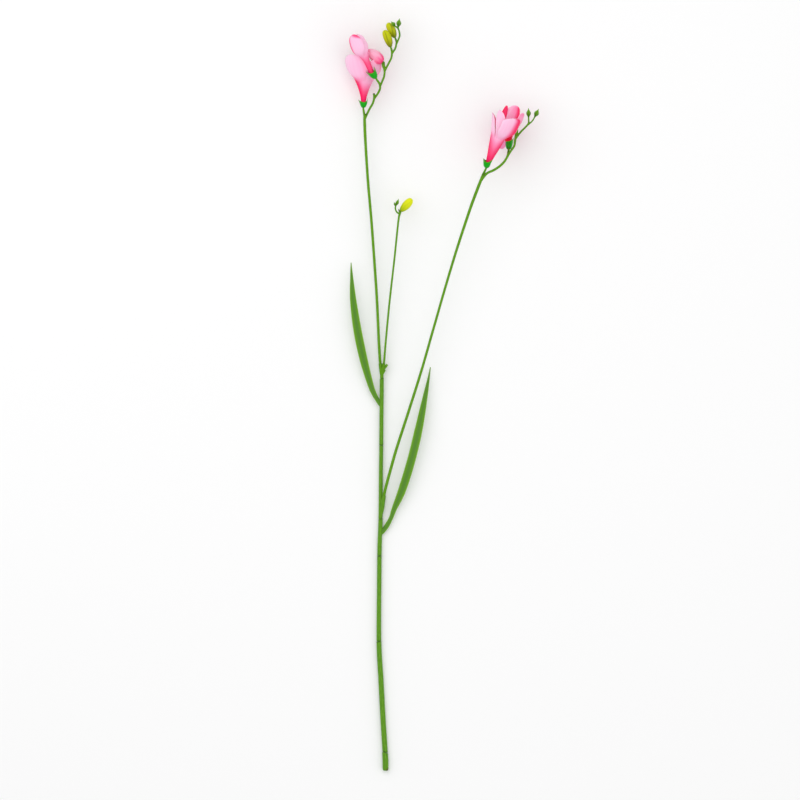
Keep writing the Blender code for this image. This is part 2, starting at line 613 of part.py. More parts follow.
def cup(name, flower):
    """The green cup under a flower: two points on its rim and a hollow for the stalk below."""
    cup_height, cup_radius = flower["cup_height"], flower["cup_radius"]

    def ring(height, radius, pointed=0):
        points = []
        for side in range(CUP_SIDES):
            turn = side * 360 / CUP_SIDES
            point = pointed * abs(math.cos(math.radians(turn - flower["bract_turn"]))) ** 5
            rise = height * (1 + CUP_POINT_RISE * point - CUP_RIM_DIP * pointed)
            points.append(place(*round_axis(flower, turn, radius * (1 + CUP_POINT_FLARE * point), rise)))
        return points

    floor = CUP_RECESS_DEPTH + CUP_WALL
    recess = STALK_RADIUS + SEAM
    rim = cup_radius * 1.05
    rings = [[place(*round_axis(flower, 0, 0, CUP_RECESS_DEPTH))],
             ring(CUP_RECESS_DEPTH, recess), ring(0.0, recess)]
    rings += [ring(cup_height * height, cup_radius * radius) for height, radius in CUP_PROFILE]
    rings += [ring(cup_height, rim, 1), ring(cup_height, rim - CUP_WALL * 0.8, 1)]
    rings += [ring(cup_height * 0.7, cup_radius - CUP_WALL), ring(floor, cup_radius * 0.92 - CUP_WALL)]
    rings += [[place(*round_axis(flower, 0, 0, floor))]]
    return loft(name, rings)


STAMEN_TURN = 22.0           # where the first of the three stands, in degrees round the style
ANTHER_LENGTH = 4.6


def stamens(name, flower, length):
    """A slim style with three stamens round it, from the cup's floor to the flower's mouth."""
    foot = CUP_RECESS_DEPTH + CUP_WALL + SEAM
    anther = length - ANTHER_LENGTH
    # Distance from the middle line, height and radius
    style = [(0.0, foot, 0.55), (0.0, foot + 7.0, 0.5), (0.0, length - 2.0, 0.38), (0.0, length + 2.5, 0.4)]
    stamen = [(0.15, foot + 3.5, 0.3), (1.3, foot + 12.0, 0.32), (1.7, anther - 0.4, 0.32),
              (1.75, anther, 0.6), (1.8, length - 0.8, 0.6), (1.8, length, 0.3)]
    turns = [STAMEN_TURN + 120.0 * index for index in range(3)]
    pieces = [tube(name, [(*round_axis(flower, turn, out, height), radius) for out, height, radius in route])
              for turn, route in [(0.0, style)] + [(turn, stamen) for turn in turns]]
    return fuse(name, pieces)


# Buds: the end that sits on its stalk, the tip, half the width, and how far the middle bows sideways
BUDS = {
    "top_pink_bud": ((-1.7, 529.9, 20.5), (-13.6, 540.0, 20.0), 4.45, 0.9),
    "top_lower_bud": ((3.7, 543.0, 23.5), (-1.0, 555.4, 26.4), 3.1, 0.4),
    "top_upper_bud": ((7.0, 549.9, 20.5), (1.6, 560.9, 20.0), 3.05, 0.4),
    "middle_bud": ((11.2, 419.8, 15.2), (19.4, 429.0, 16.5), 3.1, 0.2),
}
BUD_SIDES = 15
BUD_SOCKET_RADIUS = 0.95
BUD_SOCKET_DEPTH = 1.6
BUD_FOOT_RADIUS = 1.4        # round the mouth of the hollow
BUD_RIDGE = 0.05             # how far its three folded petals stand proud
BUD_STEPS = 9


def bud(name, base, tip, radius, bow):
    """A closed bud: a long egg with three soft ridges and a hollow below for its stalk."""
    base, tip = Vector(base), Vector(tip)
    along = (tip - base).normalized()
    across = along.cross(Vector((0, 0, 1))).normalized()
    up = across.cross(along)

    def ring(share, reach, ridge):
        points = []
        for side in range(BUD_SIDES):
            turn = 2 * math.pi * side / BUD_SIDES
            out = reach * (1 + ridge * math.cos(3 * turn))
            centre = base.lerp(tip, share) + across * bow * math.sin(math.pi * share)
            points.append(place(*(centre + (across * math.cos(turn) + up * math.sin(turn)) * out)))
        return points

    depth = BUD_SOCKET_DEPTH / (tip - base).length
    rings = [[place(*base.lerp(tip, depth))], ring(depth, BUD_SOCKET_RADIUS, 0),
             ring(0.0, BUD_SOCKET_RADIUS, 0), ring(0.0, BUD_FOOT_RADIUS, 0)]
    for step in range(1, BUD_STEPS):
        share = 0.5 - 0.5 * math.cos(math.pi * step / BUD_STEPS)
        egg = math.sin(math.pi * share ** 0.92) ** 0.6
        foot = BUD_FOOT_RADIUS + share if share < 0.2 else 0.0
        rings.append(ring(share, max(radius * egg, foot), BUD_RIDGE))
    rings.append([place(*tip)])
    return loft(name, rings)


# The model

parts = new_collection("freesia_stem")
cutters = new_collection("cutters")

stem_green = material("stem_green", (0.117, 0.305, 0.027), 0.45)
leaf_green = material("leaf_green", (0.107, 0.258, 0.030), 0.5)
cup_green = material("cup_green", (0.010, 0.381, 0.003), 0.35)
petal_pink = material("petal_pink", (1.0, 0.39, 0.60), 0.55)
bud_yellow = material("bud_yellow_green", (0.50, 0.56, 0.004), 0.5)
stamen_cream = material("stamen_cream", (0.80, 0.66, 0.28), 0.6)

branches = [build_top_branch(), build_middle_branch(), build_right_branch()]
for piece in build_trunk() + [build_fork()] + branches:
    finish(piece, stem_green)
for leaf_name, leaf_route in (("left_leaf", LEFT_LEAF), ("right_leaf", RIGHT_LEAF)):
    finish(leaf(leaf_name, leaf_route), leaf_green)
for flower_name, flower_shape in FLOWERS.items():
    finish(cup(flower_name + "_calyx", flower_shape), cup_green)
    finish(petals(flower_name + "_petals", flower_shape), petal_pink)
for flower_name, stamen_length in (("top_open", 28.0), ("right_front", 34.0), ("right_back", 20.0)):
    finish(stamens(flower_name + "_stamens", FLOWERS[flower_name], stamen_length), stamen_cream)
for bud_name, bud_shape in BUDS.items():
    finish(bud(bud_name, *bud_shape), petal_pink if bud_name == "top_pink_bud" else bud_yellow)
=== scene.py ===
# %% [markdown]
# # A freesia stem, cut and laid down
# The stem is the artificial kind: lengths of moulded green stalk plug into each other, two blades and
# three branches grow from them, and the branches end in pink funnel flowers, closed buds and tiny green
# ones. A plain frame of the whole stem is ready. This lesson gives each piece its fine shape and its
# finish, and leaves every piece where the frame has it.

# %% Load the frame
import math
from dataclasses import dataclass

import bmesh
import bpy
import numpy as np
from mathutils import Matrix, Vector


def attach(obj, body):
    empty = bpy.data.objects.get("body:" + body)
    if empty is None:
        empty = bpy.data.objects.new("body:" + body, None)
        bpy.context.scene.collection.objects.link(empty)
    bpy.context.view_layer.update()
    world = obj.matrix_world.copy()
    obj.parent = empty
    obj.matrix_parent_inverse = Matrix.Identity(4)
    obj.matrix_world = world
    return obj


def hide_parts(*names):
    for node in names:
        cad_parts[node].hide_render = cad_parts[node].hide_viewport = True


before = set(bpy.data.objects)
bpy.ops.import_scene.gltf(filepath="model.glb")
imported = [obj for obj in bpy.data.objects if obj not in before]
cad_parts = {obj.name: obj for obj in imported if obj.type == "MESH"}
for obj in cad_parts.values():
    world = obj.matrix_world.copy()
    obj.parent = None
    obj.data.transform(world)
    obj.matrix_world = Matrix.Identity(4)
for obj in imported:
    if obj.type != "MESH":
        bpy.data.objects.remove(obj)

scene = bpy.context.scene
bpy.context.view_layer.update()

# %% [markdown]
# ## Places
# The stem was measured from the middle of its cut end, in millimetres: x to the right, y along the
# trunk, z up from the table. The frame's own origin lies under the middle of the whole outline, so one
# function turns a measured place into a place in the frame. A route is a list of such places with a
# radius, and a smooth curve is drawn through them, because a stalk bends softly and never in corners.

# %% Measured places and the frame
MM = 0.001
ORIGIN_X = 43.2
ORIGIN_Y = 282.1
BODY = "root"


def place(x, y, z):
    """A point of the frame, in metres, from millimetres measured from the cut end."""
    return Vector((x - ORIGIN_X, y - ORIGIN_Y, z)) * MM


def smoothstep(value):
    """A soft step: 0 up to 0, 1 from 1 on, and smooth between them."""
    value = min(max(value, 0.0), 1.0)
    return value * value * (3.0 - 2.0 * value)


def smooth_route(route, spacing):
    """Points about spacing apart on a smooth curve through the route's, or a profile's, own points."""
    knots = [np.array(knot, float) for knot in route]
    knots = [2 * knots[0] - knots[1]] + knots + [2 * knots[-1] - knots[-2]]
    points = []
    for before, start, end, after in zip(knots, knots[1:], knots[2:], knots[3:]):
        steps = max(1, round(np.linalg.norm((end - start)[:3]) / spacing))
        for step in range(steps):
            t = step / steps
            points.append(0.5 * (2 * start + (end - before) * t
                                 + (2 * before - 5 * start + 4 * end - after) * t ** 2
                                 + (3 * start - before - 3 * end + after) * t ** 3))
    points.append(knots[-2])
    return np.array(points)


print("the cut end lies at", [round(value / MM, 1) for value in place(0, 0, 0)], "mm in the frame")

# %% [markdown]
# ## Camera, table and light
# The stem is slim and flat, so the camera hangs straight above it and draws without perspective: a
# length looks the same everywhere in the picture. The table is pale and plain. A wide lamp overhead and
# an even pale sky give soft shadows and let the pinks keep their strength, and the plain Standard view
# shows them as they are painted.

# %% Camera
PICTURE_PIXELS = 800
VIEW_WIDTH = 0.6
VIEW_SPOT = (10.8, 278.0, 700.0)
camera_data = bpy.data.cameras.new("camera")
camera_data.type = "ORTHO"
camera_data.ortho_scale = VIEW_WIDTH
camera = bpy.data.objects.new("camera", camera_data)
camera.location = place(*VIEW_SPOT)
scene.collection.objects.link(camera)
scene.camera = camera
scene.view_settings.view_transform = "Standard"
print("one pixel is", VIEW_WIDTH / PICTURE_PIXELS / MM, "mm")


# %% Node helpers that shaders, the sky and geometry trees share
def feed(tree, sockets, values):
    """Each socket takes another node's socket or a plain value; None leaves it alone."""
    for socket, value in zip(sockets, values):
        if isinstance(value, bpy.types.NodeSocket):
            tree.links.new(value, socket)
        elif value is not None:
            socket.default_value = value


def add(tree, kind, values=None, **settings):
    """A new node with its settings; its named inputs are fed with the values."""
    made = tree.nodes.new(kind)
    for label, setting in settings.items():
        setattr(made, label, setting)
    values = values or {}
    feed(tree, [made.inputs[label] for label in values], values.values())
    return made


def colour(red, green, blue):
    """A colour given as 0 to 255 on a screen, as the linear numbers that Blender's sockets hold."""
    shares = np.array((red, green, blue)) / 255.0
    linear = np.where(shares <= 0.04045, shares / 12.92, ((shares + 0.055) / 1.055) ** 2.4)
    return (*(float(value) for value in linear), 1.0)


def new_material(name, roughness):
    made = bpy.data.materials.new(name)
    made.use_nodes = True
    shader = made.node_tree.nodes["Principled BSDF"]
    shader.inputs["Roughness"].default_value = roughness
    return made, made.node_tree, shader


# %% Sky, lamps and table
SKY_STRENGTH = 0.66
SKY_IN_GLOSS = 0.12
TABLE_HALF = 3.0
TABLE_DROP = 0.03 * MM
sky = bpy.data.worlds.new("pale_sky")
sky.use_nodes = True
sky_tree = sky.node_tree
sky_background = sky_tree.nodes["Background"]
sky_background.inputs["Color"].default_value = (1.0, 1.0, 1.0, 1.0)
# A white sky would wash out the pinks where it is mirrored, so mirrored light gets much less of it.
# Where the sky itself is seen, past the table's edge, it is as white as the table.
rays = add(sky_tree, "ShaderNodeLightPath").outputs
strength = add(sky_tree, "ShaderNodeMapRange", {
    "Value": rays["Is Glossy Ray"], "To Min": SKY_STRENGTH, "To Max": SKY_IN_GLOSS})
seen = add(sky_tree, "ShaderNodeMath", {0: strength.outputs["Result"], 1: rays["Is Camera Ray"]},
           operation="MAXIMUM")
sky_tree.links.new(seen.outputs["Value"], sky_background.inputs["Strength"])
scene.world = sky


def lamp(name, spot, size, power):
    """A square soft lamp that looks at the middle of the stem."""
    data = bpy.data.lights.new(name, "AREA")
    data.size = size
    data.energy = power
    made = bpy.data.objects.new(name, data)
    made.location = Vector(spot)
    made.rotation_euler = (-Vector(spot)).to_track_quat("-Z", "Y").to_euler()
    scene.collection.objects.link(made)


lamp("key_lamp", (-0.5, 0.5, 1.3), 2.0, 11.4)
lamp("fill_lamp", (0.9, -0.3, 1.2), 2.2, 5.8)

table_mesh = bpy.data.meshes.new("table")
table_mesh.from_pydata([(-TABLE_HALF, -TABLE_HALF, 0), (TABLE_HALF, -TABLE_HALF, 0),
                        (TABLE_HALF, TABLE_HALF, 0), (-TABLE_HALF, TABLE_HALF, 0)], [], [(0, 1, 2, 3)])
table = bpy.data.objects.new("table", table_mesh)
table.location.z = -TABLE_DROP
scene.collection.objects.link(table)
table_paint, _, table_shader = new_material("table_paint", 0.9)
table_shader.inputs["Base Color"].default_value = (0.93, 0.93, 0.93, 1.0)
table_shader.inputs["Specular IOR Level"].default_value = 0.1
table_mesh.materials.append(table_paint)
print("two lamps, a pale sky and a table", 2 * TABLE_HALF, "m wide")

# %% [markdown]
# ## Meshes from rings
# Stalks, cups, blades and buds are all skins over rings of points, so one function draws them all. The
# other helpers write numbers onto the points, such as how far along a stalk a point lies. The materials
# read those numbers, so a streak or a blush follows its piece round every bend.


# %% Mesh helpers
def new_piece(name, mesh):
    made = bpy.data.objects.new(name, mesh)
    scene.collection.objects.link(made)
    return made


def skin(name, rings):
    """A mesh over rings of points, one after another, with capped ends."""
    rings = np.array(rings, float)
    rows, columns = rings.shape[:2]
    faces = []
    for low in range(0, (rows - 1) * columns, columns):
        high = low + columns
        for column in range(columns):
            after = (column + 1) % columns
            faces.append((low + column, low + after, high + after, high + column))
    faces.append(tuple(reversed(range(columns))))
    faces.append(tuple(range((rows - 1) * columns, rows * columns)))
    mesh = bpy.data.meshes.new(name)
    mesh.from_pydata(rings.reshape(-1, 3).tolist(), [], faces)
    grid = bmesh.new()
    grid.from_mesh(mesh)
    bmesh.ops.recalc_face_normals(grid, faces=grid.faces)
    grid.to_mesh(mesh)
    grid.free()
    return new_piece(name, mesh)


def write(piece, **numbers):
    """Puts named numbers, or named vectors, on the points of a piece."""
    for name, values in numbers.items():
        values = np.array(values, np.float32)
        kind, field = ("FLOAT_VECTOR", "vector") if values.ndim > 1 else ("FLOAT", "value")
        piece.data.attributes.new(name, kind, "POINT").data.foreach_set(field, values.ravel())


def points_of(piece):
    found = np.empty(len(piece.data.vertices) * 3)
    piece.data.vertices.foreach_get("co", found)
    return found.reshape(-1, 3)


def move_points(piece, points):
    piece.data.vertices.foreach_set("co", points.ravel())
    piece.data.update()


def settle(piece):
    """Keeps the shape that a piece's modifiers give as a plain mesh, and drops the modifiers."""
    view = bpy.context.evaluated_depsgraph_get()
    mesh = bpy.data.meshes.new_from_object(piece.evaluated_get(view), preserve_all_data_layers=True,
                                           depsgraph=view)
    old = piece.data
    piece.modifiers.clear()
    piece.data = mesh
    bpy.data.meshes.remove(old)
    mesh.name = piece.name
    return piece


def join(name, pieces):
    """Several meshes as one object."""
    with bpy.context.temp_override(active_object=pieces[0], selected_editable_objects=pieces,
                                   selected_objects=pieces, object=pieces[0]):
        bpy.ops.object.join()
    pieces[0].name = name
    pieces[0].data.name = name
    return pieces[0]


def paint(piece, material):
    """Gives a piece its finish, and shades it smooth."""
    piece.data.materials.append(material)
    piece.data.shade_smooth()


def hand_over(piece, slot, *nodes):
    """A finished piece takes its nodes' place in the frame, with nothing below the table."""
    points = points_of(piece)
    points[:, 2] = np.maximum(points[:, 2], 0.0)
    move_points(piece, points)
    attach(piece, BODY)
    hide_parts(*nodes)
    print(piece.name, sum(len(face.vertices) - 2 for face in piece.data.polygons), "triangles")


# %% [markdown]
# ## Tubes along a route
# A tube needs a pair of directions across its route at each point. If they were worked out afresh at
# each point, the tube would twist where the route turns, so each pair is the last one, carried forward
# and turned only as much as the route turns.


# %% Tube helpers
def directions(points):
    """At each point of a route: the way ahead and two directions across it, carried without twist."""
    ahead = np.gradient(points[:, :3], axis=0)
    ahead /= np.linalg.norm(ahead, axis=1)[:, None]
    side = np.cross(ahead[0], (0.0, 0.0, 1.0))
    sides = []
    for way in ahead:
        side = side - way * np.dot(side, way)
        side = side / np.linalg.norm(side)
        sides.append(side)
    sides = np.array(sides)
    return ahead, sides, np.cross(sides, ahead)


def full_turn(count):
    """Evenly spaced angles once round, in radians."""
    return np.linspace(0, 2 * math.pi, count, endpoint=False)


def ring(centre, across, up, turns, reach):
    """Points round a centre, all at one reach or each at its own."""
    reach = np.broadcast_to(reach, turns.shape)[:, None]
    return centre + reach * (across * np.cos(turns)[:, None] + up * np.sin(turns)[:, None])


def tube(points, sides):
    """A round tube through points (x, y, z, radius) in millimetres, with capped ends."""
    points = np.array(points, float)
    _, sideways, up = directions(points)
    turns = full_turn(sides)
    rings = [ring(point[:3], *axes, turns, point[3]) for point, *axes in zip(points, sideways, up)]
    return skin("tube", to_frame(rings))


def to_frame(points):
    """Measured millimetres, as an array, in the frame's metres."""
    return (np.array(points) - (ORIGIN_X, ORIGIN_Y, 0.0)) * MM


def guide(routes):
    """A line through the middle of each route, whose points know the way ahead, a side and the run."""
    spots, ways, sides, runs, edges = [], [], [], [], []
    for route in routes:
        route = np.array(route, float)[:, :3]
        ahead, side, _ = directions(route)
        steps = np.linalg.norm(np.diff(route, axis=0), axis=1)
        first = len(spots)
        spots += to_frame(route).tolist()
        ways += ahead.tolist()
        sides += side.tolist()
        runs += [0.0, *np.cumsum(steps).tolist()]
        edges += [(index, index + 1) for index in range(first, len(spots) - 1)]
    mesh = bpy.data.meshes.new("guide")
    mesh.from_pydata(spots, edges, [])
    made = new_piece("guide", mesh)
    write(made, ahead=ways, beside=sides, run=runs)
    return made


# %% [markdown]
# ## A node tree for the ribs
# A freesia stalk is not a smooth rod: fine ribs run along it, and the mould copied them. They follow
# every bend, so a node tree makes them. Each point of the skin looks up the nearest point of the guide
# line, works out where round the line it stands, and moves out or in by a cosine of that angle. The
# same tree serves all ten green stalks, with its number of ribs and their depth as named inputs.


# %% Helpers for geometry trees
def new_tree(name, inputs):
    """A geometry tree with named inputs, each a name and the kind of its socket."""
    tree = bpy.data.node_groups.new(name, "GeometryNodeTree")
    tree.interface.new_socket("Geometry", in_out="INPUT", socket_type="NodeSocketGeometry")
    for label, kind in inputs:
        tree.interface.new_socket(label, in_out="INPUT", socket_type="NodeSocket" + kind)
    tree.interface.new_socket("Geometry", in_out="OUTPUT", socket_type="NodeSocketGeometry")
    return tree, tree.nodes.new("NodeGroupInput").outputs


def end_tree(tree, geometry, material):
    """Real geometry with its material: the last nodes of every tree here."""
    real = add(tree, "GeometryNodeRealizeInstances", {"Geometry": geometry}).outputs["Geometry"]
    painted = add(tree, "GeometryNodeSetMaterial", {"Geometry": real, "Material": material})
    smooth = add(tree, "GeometryNodeSetShadeSmooth", {"Geometry": painted.outputs["Geometry"]})
    add(tree, "NodeGroupOutput", {"Geometry": smooth.outputs["Geometry"]})
    return tree


def maths(tree, operation, *values):
    made = add(tree, "ShaderNodeMath", operation=operation)
    feed(tree, made.inputs, values)
    return made.outputs["Value"]


def vectors(tree, operation, *values, output="Vector"):
    made = add(tree, "ShaderNodeVectorMath", operation=operation)
    feed(tree, made.inputs, values)
    return made.outputs[output]


def scaled(tree, vector, scale):
    values = {"Vector": vector, "Scale": scale}
    return add(tree, "ShaderNodeVectorMath", values, operation="SCALE").outputs["Vector"]


def named(tree, name, kind="FLOAT"):
    return add(tree, "GeometryNodeInputNamedAttribute", {"Name": name}, data_type=kind).outputs[0]


def raised(tree, geometry, reach, extra=None):
    """Geometry pushed out along its normals by a reach, and moved by an extra vector."""
    normal = add(tree, "GeometryNodeInputNormal").outputs["Normal"]
    offset = scaled(tree, normal, reach)
    if extra is not None:
        offset = vectors(tree, "ADD", offset, extra)
    return add(tree, "GeometryNodeSetPosition", {"Geometry": geometry, "Offset": offset}).outputs[0]


def store(tree, geometry, name, value, kind="FLOAT"):
    values = {"Geometry": geometry, "Name": name, "Value": value}
    made = add(tree, "GeometryNodeStoreNamedAttribute", values, data_type=kind, domain="POINT")
    return made.outputs["Geometry"]


def veins_over(tree, across, count):
    """A wave from 1 on a vein to -1 between two, with so many veins to each side of the middle."""
    return maths(tree, "COSINE", maths(tree, "MULTIPLY", across,
                                       maths(tree, "MULTIPLY", count, math.pi)))


def run_tree(piece, tree, inputs):
    """Adds a tree to a piece, and sets its named inputs by their sockets' identifiers."""
    modifier = piece.modifiers.new(tree.name, "NODES")
    modifier.node_group = tree
    for socket in tree.interface.items_tree:
        if socket.in_out == "INPUT" and socket.name in inputs:
            modifier[socket.identifier] = inputs[socket.name]


# %% The rib tree
def build_rib_tree():
    tree, given = new_tree("moulded_ribs", [
        ("Guide", "Object"), ("Ribs", "Int"), ("Rib Depth", "Float"), ("Unevenness", "Float"),
        ("Seed", "Float"), ("Material", "Material")])
    line = add(tree, "GeometryNodeObjectInfo", {"Object": given["Guide"]}).outputs["Geometry"]
    here = add(tree, "GeometryNodeInputPosition").outputs["Position"]
    nearest = add(tree, "GeometryNodeSampleNearest", {"Geometry": line, "Sample Position": here},
                  domain="POINT").outputs["Index"]

    def looked_up(value, kind):
        values = {"Geometry": line, "Index": nearest, "Value": value}
        return add(tree, "GeometryNodeSampleIndex", values, data_type=kind, domain="POINT").outputs[0]

    ahead = looked_up(named(tree, "ahead", "FLOAT_VECTOR"), "FLOAT_VECTOR")
    beside = looked_up(named(tree, "beside", "FLOAT_VECTOR"), "FLOAT_VECTOR")
    away = vectors(tree, "SUBTRACT", here, looked_up(here, "FLOAT_VECTOR"))
    over = vectors(tree, "CROSS_PRODUCT", beside, ahead)
    turn = maths(tree, "ARCTAN2", vectors(tree, "DOT_PRODUCT", away, over, output="Value"),
                 vectors(tree, "DOT_PRODUCT", away, beside, output="Value"))
    extra = maths(tree, "DIVIDE", vectors(tree, "DOT_PRODUCT", away, ahead, output="Value"), MM)
    run = maths(tree, "ADD", looked_up(named(tree, "run"), "FLOAT"), extra)
    rib = maths(tree, "COSINE", maths(tree, "MULTIPLY", turn, given["Ribs"]))
    grain = add(tree, "ShaderNodeCombineXYZ", {
        "X": maths(tree, "COSINE", turn), "Y": maths(tree, "SINE", turn),
        "Z": maths(tree, "MULTIPLY", run, 0.06)}).outputs["Vector"]
    unevenness = add(tree, "ShaderNodeTexNoise", {"Vector": grain, "W": given["Seed"], "Scale": 1.6},
                     noise_dimensions="4D").outputs["Fac"]
    swell = maths(tree, "MULTIPLY", maths(tree, "SUBTRACT", unevenness, 0.5), given["Unevenness"])
    reach = maths(tree, "MULTIPLY_ADD", rib, given["Rib Depth"], swell)
    shape = store(tree, raised(tree, given["Geometry"], reach), "rib", rib)
    shape = store(tree, shape, "grain", grain, "FLOAT_VECTOR")
    return end_tree(tree, shape, given["Material"])


rib_tree = build_rib_tree()
print("rib tree:", len(rib_tree.nodes), "nodes")

# %% [markdown]
# ## The green finish of the stalks
# The plastic is dyed in the mass, a satin middle green with faint streaks along it. Painted light and
# shade follow the ribs: the green is a little lighter on them and darker between them. Painted shade
# turns it nearly black-green where a seam or a forking stalk leaves a crease, and the small bracts and
# cut stubs end in a paler green. The streaks come from noise that is read on the rib tree's own
# coordinates, so they run along each stalk.


# %% Shader helpers
# The mix node's sockets for colours, by number, because those for plain numbers have the same names
MIX_A, MIX_B, MIX_RESULT = 6, 7, 2
# Bumps a metre of the finest noise, too fine to be seen one by one
SPECK_SCALE = 20000.0


def attribute(tree, name, output="Fac"):
    return add(tree, "ShaderNodeAttribute", attribute_name=name).outputs[output]


def ramp(tree, factor, stops):
    """Colours between stops, each a share from 0 to 1 with red, green and blue."""
    made = add(tree, "ShaderNodeValToRGB", {"Fac": factor})
    elements = made.color_ramp.elements
    while len(elements) < len(stops):
        elements.new(1.0)
    for element, (share, *tint) in zip(elements, stops):
        element.position = share
        element.color = colour(*tint)
    return made.outputs["Color"]


def blend(tree, factor, first, tint):
    """A node's colour that gives way to a tint of red, green and blue."""
    values = {"Factor": factor, MIX_A: first, MIX_B: colour(*tint)}
    return add(tree, "ShaderNodeMix", values, data_type="RGBA").outputs[MIX_RESULT]


def noise(tree, vector, scale, detail=2.0):
    values = {"Vector": vector, "Scale": scale, "Detail": detail}
    return add(tree, "ShaderNodeTexNoise", values).outputs["Fac"]


def specks(tree, scale, detail=2.0):
    """Noise that is read at each spot of the piece itself, so it never slides over it."""
    return noise(tree, add(tree, "ShaderNodeTexCoord").outputs["Object"], scale, detail)


def moulded(shader, tint, gloss, scale, depth, roughness):
    """Ends a finish: its colour, and a moulded surface's grain of bumps (depth in mm) and gloss."""
    tree = shader.id_data
    grain = specks(tree, scale, 3.0)
    bump = add(tree, "ShaderNodeBump", {"Height": grain, "Strength": 0.5, "Distance": depth * MM})
    low, high = roughness
    spread = add(tree, "ShaderNodeMapRange", {"Value": grain, "To Min": low, "To Max": high})
    shader.inputs["Specular IOR Level"].default_value = gloss
    sockets = [shader.inputs[label] for label in ("Base Color", "Normal", "Roughness")]
    feed(tree, sockets, (tint, bump.outputs["Normal"], spread.outputs["Result"]))


# %% The stalks' finish
def stalk_finish(name, groove, body, ridge):
    made, tree, shader = new_material(name, 0.45)
    streaks = noise(tree, attribute(tree, "grain", "Vector"), 5.0, 4.0)
    # Painted light and shade that follow the ribs: lighter on them, darker between them
    light = maths(tree, "MULTIPLY_ADD", attribute(tree, "rib"), 0.12, streaks)
    green = ramp(tree, light, [(0.25, *groove), (0.5, *body), (0.78, *ridge)])
    green = blend(tree, attribute(tree, "pale"), green, (150, 196, 84))
    # Painted shade: nearly black-green in the creases at seams and forks
    green = blend(tree, attribute(tree, "crease"), green, (30, 62, 12))
    # The small dark red-brown spot by the cut end
    green = blend(tree, attribute(tree, "scar"), green, (84, 26, 10))
    moulded(shader, green, 0.2, 2600.0, 0.03, (0.4, 0.55))
    return made


trunk_green = stalk_finish("trunk_green", (68, 120, 14), (92, 148, 24), (114, 168, 42))
branch_green = stalk_finish("branch_green", (66, 118, 4), (92, 150, 10), (120, 174, 30))
print("finishes:", trunk_green.name, branch_green.name)

# %% [markdown]
# ## The trunk
# Seven pieces stand on each other: a sleeve at the cut end, five lengths and a small fork. Each but the
# sleeve has a plug below, which sits in the socket of the piece under it, and the seam between two of
# them shows as a thin dark line, cut a little aslant at some, with painted shade beside it. A length is
# turned about the trunk's own middle line: a list of heights and radii goes up the outside, over the
# rim and down into the socket.

# %% Sizes of the trunk
SLEEVE_RADIUS = 2.2
TRUNK_Z = SLEEVE_RADIUS * math.cos(math.pi / 10)
TRUNK_LINE = [
    (0.0, 0.0, TRUNK_Z), (13.8, -0.4, TRUNK_Z), (38.0, -1.9, TRUNK_Z), (68.0, -3.5, TRUNK_Z),
    (97.0, -5.0, TRUNK_Z), (143.0, -4.8, TRUNK_Z), (169.0, -4.5, TRUNK_Z), (188.8, -3.8, TRUNK_Z),
    (218.0, -3.6, 2.3), (244.0, -3.3, 2.7), (278.0, -3.0, 3.5), (294.5, -2.9, 4.0), (304.0, -2.8, 4.3),
]
SLEEVE_TOP = 13.8
LOWER_TOP = 97.0
MIDDLE_TOP = 161.0
LEAF_JOINT_TOP = 188.8
BRANCH_JOINT_TOP = 244.0
UPPER_TOP = 294.5
SEAM = 0.3
PLUG_LENGTH = 5.0
TRUNK_PLUG_RADIUS = 0.75
TRUNK_SOCKET_RADIUS = TRUNK_PLUG_RADIUS + SEAM
CHAMFER = 0.1
GAP = 0.16
CLOSED = 0.05
ROW_SPACING = 1.2
TRUNK_SIDES = 72
TRUNK_RIBS = 9
RIB_DEPTH = 0.035
UNEVENNESS = 0.12
# How far along the trunk a slanted seam still moves points, and how steeply each seam climbs from left
# to right across it
SLANT_REACH = 7.0
SLANTS = {SLEEVE_TOP: -0.36, LOWER_TOP: 0.12, MIDDLE_TOP: 0.0, LEAF_JOINT_TOP: 0.5,
          BRANCH_JOINT_TOP: 0.0, UPPER_TOP: 0.35}
# Painted shade beside each seam: how dark it is, and how far it reaches in mm
SEAM_SHADE = 0.6
SEAM_SHADE_REACH = 0.36
trunk_line = smooth_route(TRUNK_LINE, 1.0)
print("the trunk's line has", len(trunk_line), "points")


def trunk_at(y):
    """The trunk's middle line at y."""
    return np.array((np.interp(y, trunk_line[:, 0], trunk_line[:, 1]), y,
                     np.interp(y, trunk_line[:, 0], trunk_line[:, 2])))


def trunk_heading(y):
    way = trunk_at(y + 1.5) - trunk_at(y - 1.5)
    return way / np.linalg.norm(way)


def trunk_route(start, end):
    return [trunk_at(y) for y in np.arange(start, end, 1.0)]


# %% One length of the trunk
def length_profile(start, end, radii):
    """Heights and radii from the plug up the outside of a length and down into its socket."""
    foot, top = start + GAP / 2, end - GAP / 2
    bottom, floor = start - PLUG_LENGTH, top - PLUG_LENGTH - SEAM
    profile = [(bottom, TRUNK_PLUG_RADIUS - 0.2), (bottom + 0.2, TRUNK_PLUG_RADIUS),
               (foot, TRUNK_PLUG_RADIUS), (foot, radii[0] - CHAMFER), (foot + CHAMFER, radii[0])]
    steps = round((end - start) / ROW_SPACING)
    for step in range(1, steps):
        share = step / steps
        radius = float(np.interp(share, np.linspace(0, 1, len(radii)), radii))
        profile.append((foot + (top - foot) * share, radius))
    return profile + [(top - CHAMFER, radii[-1]), (top, radii[-1] - CHAMFER),
                      (top, TRUNK_SOCKET_RADIUS + 0.1), (top - 0.1, TRUNK_SOCKET_RADIUS),
                      (floor, TRUNK_SOCKET_RADIUS), (floor, CLOSED)]


def at_seam(points, seam):
    """The way ahead at a seam, and how far each point lies past the seam and to its right."""
    ahead = trunk_heading(seam)
    away = points - np.array(place(*trunk_at(seam)))
    return ahead, away @ ahead, away @ np.cross(ahead, (0.0, 0.0, 1.0))


